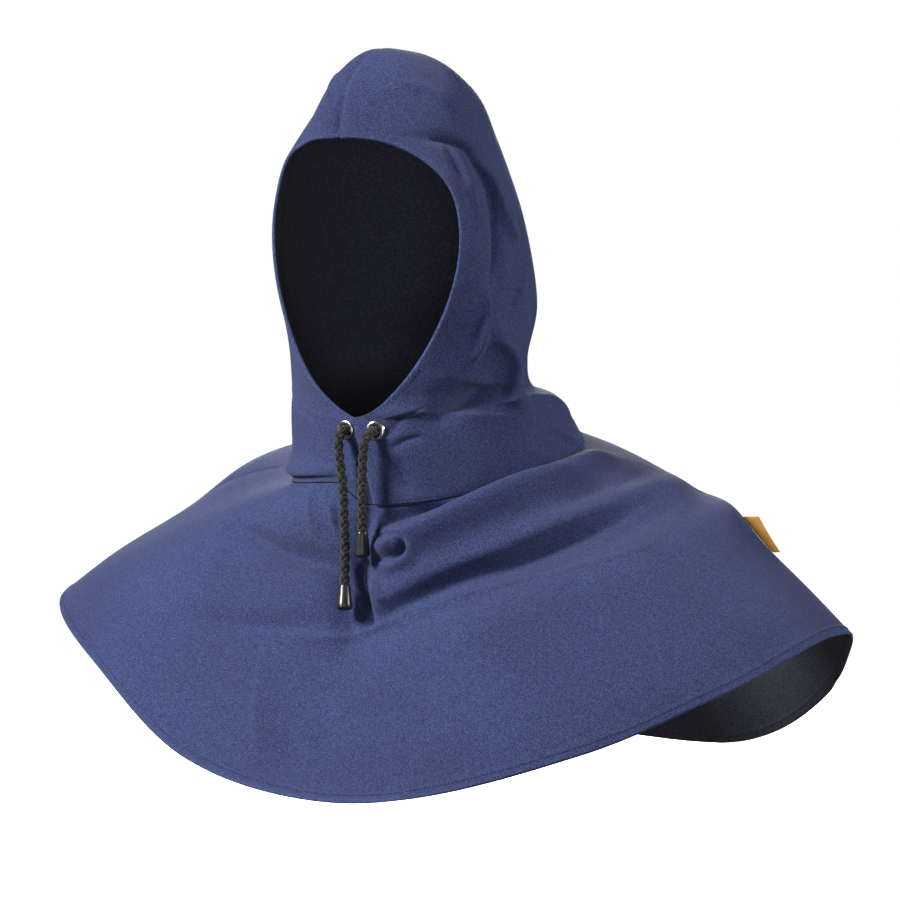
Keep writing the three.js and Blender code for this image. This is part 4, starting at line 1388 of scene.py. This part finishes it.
@dataclass(frozen=True)
class PlasticFinish:
    """Moulded satin plastic with a fine grain."""

    name: str
    colour: Colour
    roughness: float

    def material(self) -> bpy.types.Material:
        """Builds the node material.

        Returns:
            The material.
        """
        material, n, shader = new_material(self.name)
        place = n.add("ShaderNodeTexCoord").outputs["Object"]
        grain = n.noise(place, 2600.0, 2.0)
        cloud = n.noise(place, 160.0, 3.0)
        colour = n.mix(cloud, rgba(self.colour), rgba(self.colour, 1.5))
        n.set(shader.inputs["Base Color"], colour)
        smooth, dull = self.roughness, self.roughness + 0.12
        n.set(shader.inputs["Roughness"], n.ramp(cloud, 0.3, 0.7, (smooth, dull)))
        n.set(shader.inputs["Normal"], n.bump(0.2, 0.0001, grain))
        return material


@dataclass(frozen=True)
class YarnFinish:
    """Braided or sewn yarn, with fibres along each strand."""

    name: str
    colour: Colour
    fuzz: float = 0.5

    def material(self) -> bpy.types.Material:
        """Builds the node material.

        Returns:
            The material.
        """
        material, n, shader = new_material(self.name)
        place = n.add("ShaderNodeTexCoord").outputs["Object"]
        fibre = n.noise(place, 3200.0, 3.0, 0.7)
        cloud = n.noise(place, 260.0, 2.0)
        lit = tuple(min(1.0, c * 2.1 + 0.004) for c in self.colour)
        colour = n.mix(n.math("MULTIPLY", fibre, cloud), rgba(self.colour), rgba(lit))
        n.set(shader.inputs["Base Color"], colour)
        n.set(shader.inputs["Roughness"], 0.85)
        n.set(shader.inputs["Specular IOR Level"], 0.25)
        n.set(shader.inputs["Sheen Weight"], self.fuzz)
        n.set(shader.inputs["Sheen Roughness"], 0.5)
        n.set(shader.inputs["Normal"], n.bump(0.6, 0.0003, fibre))
        return material


@dataclass
class Finishes:
    """The materials of all pieces, built once."""

    navy: bpy.types.Material = field(
        default_factory=lambda: ClothFinish(
            "navy_twill",
            base=(0.029, 0.040, 0.114),
            lit=(0.034, 0.047, 0.132),
            inside=(0.070, 0.071, 0.095),
            # Painted highlight on turned edges.
            edge_highlight=(0.070, 0.095, 0.240),
        ).material()
    )
    thread: bpy.types.Material = field(
        default_factory=lambda: YarnFinish("navy_thread", (0.012, 0.017, 0.050), 0.1).material()
    )
    cord: bpy.types.Material = field(
        default_factory=lambda: YarnFinish("black_braid", (0.011, 0.010, 0.0095), 0.25).material()
    )
    nickel: bpy.types.Material = field(
        default_factory=lambda: MetalFinish("nickel", (0.66, 0.65, 0.63), 0.20).material()
    )
    bell: bpy.types.Material = field(
        default_factory=lambda: PlasticFinish("black_bell", (0.016, 0.016, 0.018), 0.24).material()
    )
    tan: bpy.types.Material = field(
        default_factory=lambda: YarnFinish("tan_label", (0.40, 0.19, 0.03), 0.2).material()
    )


# Pieces.


def settle(
    obj: bpy.types.Object, material: bpy.types.Material, slot: str, *nodes: str
) -> bpy.types.Object:
    """Gives a piece its material and body, and hides the CAD nodes that it stands for.

    Args:
        obj: The piece.
        material: Its material.
        slot: Its slot's name; not used.
        nodes: The CAD nodes that it replaces.

    Returns:
        The piece.
    """
    obj.data.materials.append(material)
    if nodes:
        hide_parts(*nodes)
    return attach(obj, "root")


@dataclass
class Build:
    """What every piece needs: the surfaces, the finishes and the origin in the neck frame."""

    finishes: Finishes
    left: HoodSurface
    right: HoodSurface
    cape: CapeSurface
    origin: Array

    @classmethod
    def make(cls) -> Build:
        """Prepares the surfaces. The origin is inside the crown, on the centre seam.

        Returns:
            The build.
        """
        left, right = HoodSurface(Side.LEFT), HoodSurface(Side.RIGHT)
        seat = np.array([float(left.seam(k, np.array(HOOD.seat_level))) for k in "xyz"])
        return cls(Finishes(), left, right, CapeSurface(), seat - [0, 0, CLOTH.wall])

    def hood(self, side: Side) -> HoodSurface:
        """The panel surface of a side."""
        return self.left if side is Side.LEFT else self.right


@dataclass
class HoodPanel:
    """One hood panel, with its turned rim and front edge."""

    build: Build
    side: Side
    across: int = 150
    up: int = 250
    flat: tuple[float, float] = (0.27, 0.36)
    area: float = 0.068
    row_crowd: float = 0.045
    rim_crowd: float = 1.35
    seam_dip: float = 0.9
    seam_pull: float = 2.2
    stitch_inset: float = 3.2
    foot_inset: float = 2.4

    def wall(self) -> ClothWall:
        """The panel's grid: closer columns at the rim, closer rows at the neck and brow.

        Returns:
            The wall, clipped at the centre seam.
        """
        surface = self.build.hood(self.side)
        level = np.linspace(0, 1, self.up + 1)
        level = level - self.row_crowd * np.sin(2 * np.pi * level) / (2 * np.pi) * 4
        share = np.linspace(0, 1, self.across + 1) ** self.rim_crowd
        u, v = np.meshgrid(share, level, indexing="ij")
        u = np.where(v >= 1, 0.5, u)
        outer = surface.at(u, v)
        normal = surface.normal(u, v)
        normal[-1, :, 0] = 0
        normal[:, -1, 0] = 0
        normal[:, 0, 2] = 0
        normal = unit(normal)
        gap = from_line(outer, surface.at(np.zeros(151), np.linspace(0, 1, 151)))
        edge = self.turned(surface, outer, v)
        thickness = CLOTH.wall + (CLOTH.hem - CLOTH.wall) * edge
        limit = surface.seam("x", v) + self.side.value * CLOTH.clearance / 2
        near = (v > HOOD.chin_level + 0.1) | (u > 0.5)
        pulled = np.exp(-(((outer[..., 0] - limit) / self.seam_pull) ** 2)) * near
        outer = outer - normal * (self.seam_dip * pulled)[..., None]
        sign = self.side.value
        clipped = sign * np.maximum(sign * outer[..., 0], sign * limit)
        outer[..., 0] = np.where(near, clipped, outer[..., 0])
        inner_x = outer[..., 0] - normal[..., 0] * thickness
        over = near & (sign * inner_x < sign * limit)
        normal[..., 0] = np.where(over, (outer[..., 0] - limit) / thickness, normal[..., 0])
        # Nearness to the rim and the neck edge, where the cloth's shader paints a highlight.
        fold = np.maximum(np.exp(-gap / 1.2), np.exp(-v * HOOD.height / 1.5))
        return ClothWall(outer, normal, thickness, fold, self.side is Side.RIGHT)

    def turned(self, surface: HoodSurface, outer: Array, level: Array) -> Array:
        """1 on the turned rim and the doubled fronts, falling to 0 past the hem's stitching.

        Args:
            surface: The panel's surface.
            outer: Points of its outside.
            level: Levels from the neck, 0, to the brow, 1.

        Returns:
            The share at each point.
        """
        rim = surface.at(np.zeros(121), np.linspace(HOOD.chin_level, 1, 121))
        round_ = from_line(outer, rim)
        edge = 1 - ease((round_ - CLOTH.hem_width) / 1.5)
        front = np.abs(outer[..., 0] - surface.rim(level)[..., 0])
        facing = (1 - ease((front - HOOD.facing_width) / 2)) * (level <= HOOD.chin_level)
        facing = facing * (np.abs(outer[..., 0]) < HOOD.neck_width / 4)
        return np.maximum(edge, facing)

    def sewing(self, surface: HoodSurface) -> list[tuple[Array, Array]]:
        """Runs of stitches: beside the fold below the chin and along the seam with the cape.

        Args:
            surface: The panel's surface.

        Returns:
            Points and normals of each run.
        """
        level = np.linspace(HOOD.chin_level + 0.01, HOOD.chin_level + 0.14, 120)
        rim = surface.at(np.zeros_like(level), level)
        step = np.linalg.norm(surface.at(np.full_like(level, 0.02), level) - rim, axis=-1)
        beside = 0.02 * self.stitch_inset / step
        across = np.linspace(0.02, 0.985, 400)
        foot = np.full_like(across, self.foot_inset / HOOD.height)
        runs = [(surface.at(beside, level), surface.normal(beside, level))]
        if self.side is Side.LEFT:
            runs.append((surface.at(across, foot), surface.normal(across, foot)))
        return runs

    def make(self) -> bpy.types.Object:
        """Returns:
            The panel.
        """
        name = f"hood_{self.side.name.lower()}"
        obj = self.wall().build(f"{name}_cloth", self.build.origin)
        settle(obj, self.build.finishes.navy, "cloth", name)
        runs = self.sewing(self.build.hood(self.side))
        sewn = Seam().build(f"{name}_stitches", runs, self.build.origin)
        settle(sewn, self.build.finishes.thread, "cloth")
        return obj


@dataclass
class CapePanel:
    """One half of the cape, from shoulder seam to shoulder seam."""

    build: Build
    name: str
    start: float
    end: float
    around: int
    flat: tuple[float, float]
    area: float
    down: int = 118
    hem_rows: int = 12
    hem_share: float = 0.032
    neck_crowd: float = 1.25
    tuck_angle: float = 12.0
    tuck_spread: float = 24.0
    tuck_crowd: float = 1.6
    ledge: float = 0.3
    stitch_inset: float = 1.4

    def wall(self) -> ClothWall:
        """The panel's grid: closer rows near the neck and at the hem, closer columns in front.

        Returns:
            The wall, thicker and raised by a ledge at the hem.
        """
        surface = self.build.cape
        gap = math.degrees(CLOTH.clearance / 2 / (HOOD.neck_width / 2))
        place = np.linspace(self.start + gap, self.end - gap, 2001)
        near = np.exp(-(((place - self.tuck_angle) / self.tuck_spread) ** 2))
        dense = np.cumsum(1 + self.tuck_crowd * near)
        at = np.linspace(dense[0], dense[-1], self.around + 1)
        angle = np.interp(at, dense, place)
        count, hem = self.hem_rows, self.hem_share
        upper = np.linspace(0, 1, self.down - count + 1) ** self.neck_crowd * (1 - hem)
        share = np.concatenate([upper, 1 - hem * (1 - np.linspace(1 / count, 1, count))])
        u, v = np.meshgrid(angle, share, indexing="ij")
        outer = surface.at(u, v)
        normal = surface.normal(u, v)
        normal[:, 0] = (0, 0, 1)
        to_hem = np.cumsum(np.linalg.norm(np.diff(outer[:, ::-1], axis=1), axis=-1), axis=1)
        to_hem = np.pad(to_hem, ((0, 0), (1, 0)))[:, ::-1]
        edge = 1 - ease((to_hem - CLOTH.cape_hem_width) / 0.9)
        thickness = CLOTH.wall + (CLOTH.cape_hem - CLOTH.wall) * edge
        outer = outer + normal * (self.ledge * edge)[..., None]
        # Nearness to the hem, where the cloth's shader paints a highlight.
        return ClothWall(outer, normal, thickness, np.exp(-to_hem / 1.2), True)

    def sewing(self, surface: CapeSurface) -> list[tuple[Array, Array]]:
        """Runs of stitches through the hem, seen outside and inside.

        Args:
            surface: The cape's surface.

        Returns:
            Points and normals of each run.
        """
        angle = np.linspace(self.start + 0.6, self.end - 0.6, 900)
        near = surface.at(angle, np.full_like(angle, 0.98))
        step = np.linalg.norm(surface.at(angle, np.ones_like(angle)) - near, axis=-1)
        share = 1 - 0.02 * (CLOTH.cape_hem_width - self.stitch_inset) / step
        points, normal = surface.at(angle, share), surface.normal(angle, share)
        inside = points - normal * (CLOTH.cape_hem - self.ledge)
        return [(points + normal * self.ledge, normal), (inside, -normal)]

    def make(self) -> bpy.types.Object:
        """Returns:
            The half.
        """
        obj = self.wall().build(f"{self.name}_cloth", self.build.origin)
        settle(obj, self.build.finishes.navy, "cloth", self.name)
        runs = self.sewing(self.build.cape)
        sewn = Seam().build(f"{self.name}_stitches", runs, self.build.origin)
        settle(sewn, self.build.finishes.thread, "cloth")
        return obj


@dataclass
class Lacing:
    """One free end of the lacing: eyelet, braided cord and bell-shaped cord end."""

    build: Build
    side: Side
    route: tuple[tuple[float, float, float], ...]
    diameter: float = 6.0
    strands: int = 8
    lay: float = 15.0
    strand: float = 0.19
    strand_rise: float = 0.42
    strand_sides: int = 8
    spacing: float = 24.0
    shift: float = 6.5
    drop: float = 7.5
    flange: float = 13.3
    hole: float = 7.6
    barrel: float = 0.5
    tunnel: float = 1.7
    bell_length: float = 17.5
    bell_top: float = 3.8
    bell_foot: float = 5.5

    def seat(self) -> tuple[Array, Array]:
        """The eyelet's middle on the cloth and the outward normal there.

        Returns:
            The point and the unit vector.
        """
        surface = self.build.hood(self.side)
        x = self.shift + self.side.value * self.spacing / 2
        lift = float(neck_lift(np.degrees(np.arctan2(x, HOOD.front))))
        level = HOOD.chin_level * (1 - self.drop / (HOOD.chin_height - lift))
        across = surface.across_at(level, x)
        u, v = np.array([across]), np.array([level])
        return surface.at(u, v)[0], surface.normal(u, v)[0]

    def centreline(self) -> Array:
        """The cord's smooth line in metres, about 0.4 mm a step.

        Returns:
            The points, from inside the eyelet to the cord end.
        """
        start, _ = self.seat()
        points = np.array([[start[0] + a, start[1] - b, start[2] - c] for a, b, c in self.route])
        keys = along(points)
        at = np.linspace(0, keys[-1], int(keys[-1] / 0.4))
        line = np.stack([column(keys, points[:, k], at) for k in range(3)], axis=-1)
        return to_row(line, self.build.origin)

    def braid(self, line: Array) -> bpy.types.Object:
        """Strands wound both ways round the line, each rising over and dipping under the others.

        Args:
            line: The cord's middle line.

        Returns:
            The braid.
        """
        name = f"drawcord_{self.side.name.lower()}"
        reach = along(line)
        side, up = frame_along(line)
        thick = self.diameter * MM * self.strand
        middle = self.diameter * MM / 2 - thick
        each = self.strands // 2
        points, quads, count = [], [], 0
        for way in (1, -1):
            for k in range(each):
                turn = way * 2 * np.pi * reach / (self.lay * MM) + 2 * np.pi * k / each
                wave = np.sin(each * 2 * np.pi * reach / (self.lay * MM) + np.pi * k) * way
                radius = middle + thick * self.strand_rise * wave
                centre = line + spokes(side, up, turn) * radius[:, None]
                rings = tube_rings(centre, thick, self.strand_sides)
                ids = np.arange(rings.shape[0] * rings.shape[1]).reshape(rings.shape[:2]) + count
                quads.append(belt(ids))
                for ring, order in ((ids[0], -1), (ids[-1], 1)):
                    cap = ring[np.array([[0, 1, 2, 3], [0, 3, 4, 7], [4, 5, 6, 7]])]
                    quads.append(cap[:, ::order])
                points.append(rings.reshape(-1, 3))
                count += ids.size
        return mesh_object(f"{name}_braid", np.concatenate(points), np.concatenate(quads))

    def eyelet(self) -> bpy.types.Object:
        """A pressed ring with a rolled flange and a short barrel.

        Returns:
            The ring.
        """
        r, f = self.hole / 2 * MM, self.flange / 2 * MM
        w = self.barrel * MM
        gap = CLOTH.clearance * MM
        bottom = -self.tunnel * MM + gap
        rim = ((-0.1, 0.0), (0.0, 0.2), (-0.1, 0.55), (-0.5, 0.95), (-1.1, 1.2))
        bore = ((1.0, 1.2), (0.45, 1.05), (0.1, 0.7), (0.0, 0.2))
        profile = [(r, bottom), (r + w, bottom), (r + w, gap)]
        profile += [(f + out * MM, gap + rise * MM) for out, rise in rim]
        profile += [(r + out * MM, gap + rise * MM) for out, rise in bore]
        name = f"eyelet_{self.side.name.lower()}"
        obj = lathe(f"{name}_ring", profile)
        self.turn_to(obj, *self.seat())
        settle(obj, self.build.finishes.nickel, "nickel", name)
        return obj

    def bell(self, tip: Array, ahead: Array) -> bpy.types.Object:
        """The cord end: a cone with a rounded foot and a parting ring.

        Args:
            tip: The cord's last point.
            ahead: The cord's direction there.

        Returns:
            The cord end.
        """
        length, top, foot = (x * MM for x in (self.bell_length, self.bell_top, self.bell_foot))
        under = (
            (0.0, 1.0), (0.3, 0.997), (0.55, 0.983), (0.76, 0.955), (0.90, 0.92), (0.97, 0.885),
        )
        ring = ((0.99, 0.865), (0.975, 0.858), (0.975, 0.850), (1.0, 0.842), (0.99, 0.80))
        cone = ((1.04, 0.10), (1.0, 0.04), (0.93, 0.008), (0.86, 0.0), (0.0, 0.0))
        profile = [(foot * out, -length * low) for out, low in (*under, *ring, (0.95, 0.70))]
        profile += [(top * out, -length * low) for out, low in cone]
        name = f"cord_end_{self.side.name.lower()}"
        obj = lathe(f"{name}_bell", profile)
        place = Vector(tip + ahead * CLOTH.clearance * MM)
        turn = Vector((0, 0, -1)).rotation_difference(Vector(ahead))
        obj.data.transform(turn.to_matrix().to_4x4())
        obj.data.transform(Matrix.Translation(place))
        settle(obj, self.build.finishes.bell, "cord_end", name)
        return obj

    def turn_to(self, obj: bpy.types.Object, place: Array, normal: Array) -> None:
        """Moves a turned mesh so that its axis runs along the normal through the place.

        Args:
            obj: The piece, turned about Z.
            place: Where it goes, in millimetres.
            normal: Where its axis points.
        """
        turn = Vector((0, 0, 1)).rotation_difference(Vector(normal)).to_matrix().to_4x4()
        turn.translation = Vector(to_row(place, self.build.origin))
        obj.data.transform(turn)

    def make(self) -> None:
        line = self.centreline()
        ahead = unit(line[-1] - line[-4])
        ring = self.eyelet()
        bell = self.bell(line[-1], ahead)
        name = f"drawcord_{self.side.name.lower()}"
        cord = self.braid(line)
        settle(cord, self.build.finishes.cord, "cord", name)


@dataclass
class Label:
    """The bare tan tab in the left shoulder seam."""

    build: Build
    length: float = 27.0
    reach: float = 10.0
    wall: float = 1.2
    place: float = 0.662
    lean: float = 37.0
    curl: float = 0.3
    slant: float = 0.55

    def make(self) -> bpy.types.Object:
        """A folded tab that stands out of the seam and leans down and to the back.

        Returns:
            The tab.
        """
        surface = self.build.cape
        half = self.length / 2 / CAPE.length(HOOD.neck_width / 2)
        t, r = np.meshgrid(np.linspace(0, 1, 41), np.linspace(0, 1, 17), indexing="ij")
        share = self.place + half * (2 * t - 1)
        angle = np.full_like(share, CAPE.shoulder_seam)
        root = surface.at(angle, share)
        normal = surface.normal(angle, share)
        back = unit(surface.at(angle + 1, share) - root)
        hem = unit(surface.at(angle, share + half) - root)
        free = (self.reach * (1 - self.slant * t) * r)[..., None]
        lean = math.radians(self.lean)
        turned = self.curl * r[..., None] * free + 0.25 * (np.sin(9 * t) * r)[..., None]
        outer = root + normal * (2 * CLOTH.clearance + math.cos(lean) * free)
        outer = outer + hem * math.sin(lean) * free + back * (turned - self.wall / 2)
        ahead = unit(np.gradient(outer, axis=0))
        up = unit(np.gradient(outer, axis=1))
        facing = unit(np.cross(ahead, up))
        sign = 1 if np.sum(facing * -back) > 0 else -1
        thickness = np.full(t.shape, self.wall)
        wall = ClothWall(outer, facing * sign, thickness, np.zeros(t.shape), sign < 0)
        obj = wall.build("label_tab", self.build.origin)
        settle(obj, self.build.finishes.tan, "label", "label")
        return obj


# Stage, light and camera.


@dataclass(frozen=True)
class Camera:
    """The photograph's camera: angles in degrees, lengths in millimetres, places in pixels."""

    azimuth: float = 31.0
    elevation: float = 4.0
    distance: float = 2500.0
    scale: float = 0.70
    origin_px: tuple[float, float] = (438.76, 493.05)
    frame_px: float = 900.0

    def axes(self) -> tuple[Array, Array, Array]:
        """Back, right and up directions of the view.

        Returns:
            Three unit vectors.
        """
        a, e = math.radians(self.azimuth), math.radians(self.elevation)
        back = np.array([math.sin(a) * math.cos(e), -math.cos(a) * math.cos(e), math.sin(e)])
        right = np.array([math.cos(a), math.sin(a), 0.0])
        return back, right, np.cross(back, right)

    def make(self, origin: Array) -> None:
        """Aims so that the neck frame's origin falls on its pixel.

        Args:
            origin: The row frame's origin.
        """
        back, right, up = self.axes()
        across, down = (self.frame_px / 2 - px for px in self.origin_px)
        aim = right * across * self.scale - up * down * self.scale
        place = to_row(aim + back * self.distance, origin)
        data = bpy.data.cameras.new("camera")
        half = self.frame_px * self.scale / 2
        data.sensor_width = 36.0
        data.lens = 18.0 * self.distance / half
        data.clip_start, data.clip_end = 0.05, 50.0
        obj = bpy.data.objects.new("camera", data)
        bpy.context.scene.collection.objects.link(obj)
        obj.location = place
        obj.rotation_mode = "QUATERNION"
        obj.rotation_quaternion = Vector(-back).to_track_quat("-Z", "Y")
        bpy.context.scene.camera = obj


@dataclass(frozen=True)
class AreaLight:
    """A soft box, aimed at a point. Angles are seen from the object, as for the camera."""

    name: str
    azimuth: float
    elevation: float
    distance: float
    size: float
    power: float

    def make(self) -> None:
        """Adds the light."""
        a, e = math.radians(self.azimuth), math.radians(self.elevation)
        back = Vector((math.sin(a) * math.cos(e), -math.cos(a) * math.cos(e), math.sin(e)))
        target = Vector((0.0, 0.04, -0.28))
        data = bpy.data.lights.new(self.name, "AREA")
        data.shape = "DISK"
        data.size = self.size
        data.energy = self.power
        obj = bpy.data.objects.new(self.name, data)
        bpy.context.scene.collection.objects.link(obj)
        obj.location = target + back * self.distance
        obj.rotation_mode = "QUATERNION"
        obj.rotation_quaternion = (-back).to_track_quat("-Z", "Y")


@dataclass(frozen=True)
class Studio:
    """Pale floor, a white surround and soft boxes."""

    floor: float = -0.80
    reach: float = 9.0
    glow: float = 1.0
    surround: float = 0.06
    lights: tuple[AreaLight, ...] = (
        AreaLight("key", azimuth=-30, elevation=32, distance=2.6, size=0.7, power=118),
        AreaLight("side", azimuth=106, elevation=22, distance=2.6, size=0.8, power=48),
        AreaLight("front", azimuth=30, elevation=-4, distance=2.6, size=1.2, power=13),
        AreaLight("back", azimuth=211, elevation=12, distance=2.6, size=1.2, power=70),
    )

    def ground(self) -> bpy.types.Object:
        """The flat floor, white to the camera, whose glow doesn't light the object.

        Returns:
            The floor.
        """
        square = np.array([[-1, -1], [1, -1], [1, 1], [-1, 1]]) * self.reach
        corners = np.column_stack([square, np.full(4, self.floor)])
        floor = mesh_object("floor", corners, np.array([[0, 1, 2, 3]]))
        material, _, shader = new_material("pale_floor")
        shader.inputs["Base Color"].default_value = (0.9, 0.9, 0.9, 1)
        shader.inputs["Roughness"].default_value = 0.9
        shader.inputs["Emission Color"].default_value = (1, 1, 1, 1)
        shader.inputs["Emission Strength"].default_value = self.glow
        floor.data.materials.append(material)
        floor.visible_diffuse = False
        floor.visible_glossy = False
        return floor

    def make(self) -> None:
        """Adds the floor, the surround and the lights."""
        self.ground()
        world = bpy.data.worlds.new("surround")
        bpy.context.scene.world = world
        world.use_nodes = True
        n = Nodes(world.node_tree)
        seen = n.add("ShaderNodeLightPath").outputs["Is Camera Ray"]
        sky = world.node_tree.nodes["Background"]
        n.set(sky.inputs["Color"], (1, 1, 1, 1))
        n.set(sky.inputs["Strength"], n.ramp(seen, 0, 1, (self.surround, self.glow)))
        for light in self.lights:
            light.make()
        bpy.context.scene.view_settings.view_transform = "Standard"


RIGHT_ROUTE = (
    (0.0, -0.9, 0.0), (0.1, 1.5, 0.1), (0.4, 5.0, 0.8), (0.9, 8.5, 2.9), (1.6, 11.3, 6.6),
    (2.4, 12.8, 11.5), (3.4, 13.3, 17.5), (4.6, 13.4, 25.0), (5.8, 13.5, 33.0),
    (6.8, 13.7, 43.0), (7.6, 14.1, 54.0), (8.5, 15.0, 66.0), (9.7, 16.7, 78.5),
    (11.2, 19.0, 90.3), (12.9, 21.9, 102.0),
)
LEFT_ROUTE = (
    (0.0, -0.9, 0.0), (-0.1, 1.5, 0.1), (-0.3, 5.0, 0.8), (-0.7, 8.4, 2.9), (-1.1, 11.1, 6.6),
    (-1.5, 12.5, 11.5), (-1.8, 13.0, 17.5), (-2.0, 13.1, 25.0), (-2.1, 13.2, 32.0),
    (-2.1, 13.3, 39.0), (-2.1, 13.4, 46.0), (-2.1, 13.5, 53.0), (-2.0, 13.6, 60.0),
    (-2.0, 13.7, 66.5),
)


def main() -> None:
    """Builds the camera, the lacing, the cloth and the studio, in that order."""
    logging.basicConfig(level=logging.INFO)
    build = Build.make()
    Camera().make(build.origin)
    for side, route in ((Side.RIGHT, RIGHT_ROUTE), (Side.LEFT, LEFT_ROUTE)):
        Lacing(build, side, route).make()
    for side in Side:
        HoodPanel(build, side).make()
    seam = CAPE.shoulder_seam
    CapePanel(build, "cape_front", -seam, seam, 406, (0.66, 0.40), 0.155).make()
    CapePanel(build, "cape_back", seam, 360 - seam, 240, (0.66, 0.36), 0.135).make()
    Label(build).make()
    Studio().make()


if __name__ == "__main__":
    main()
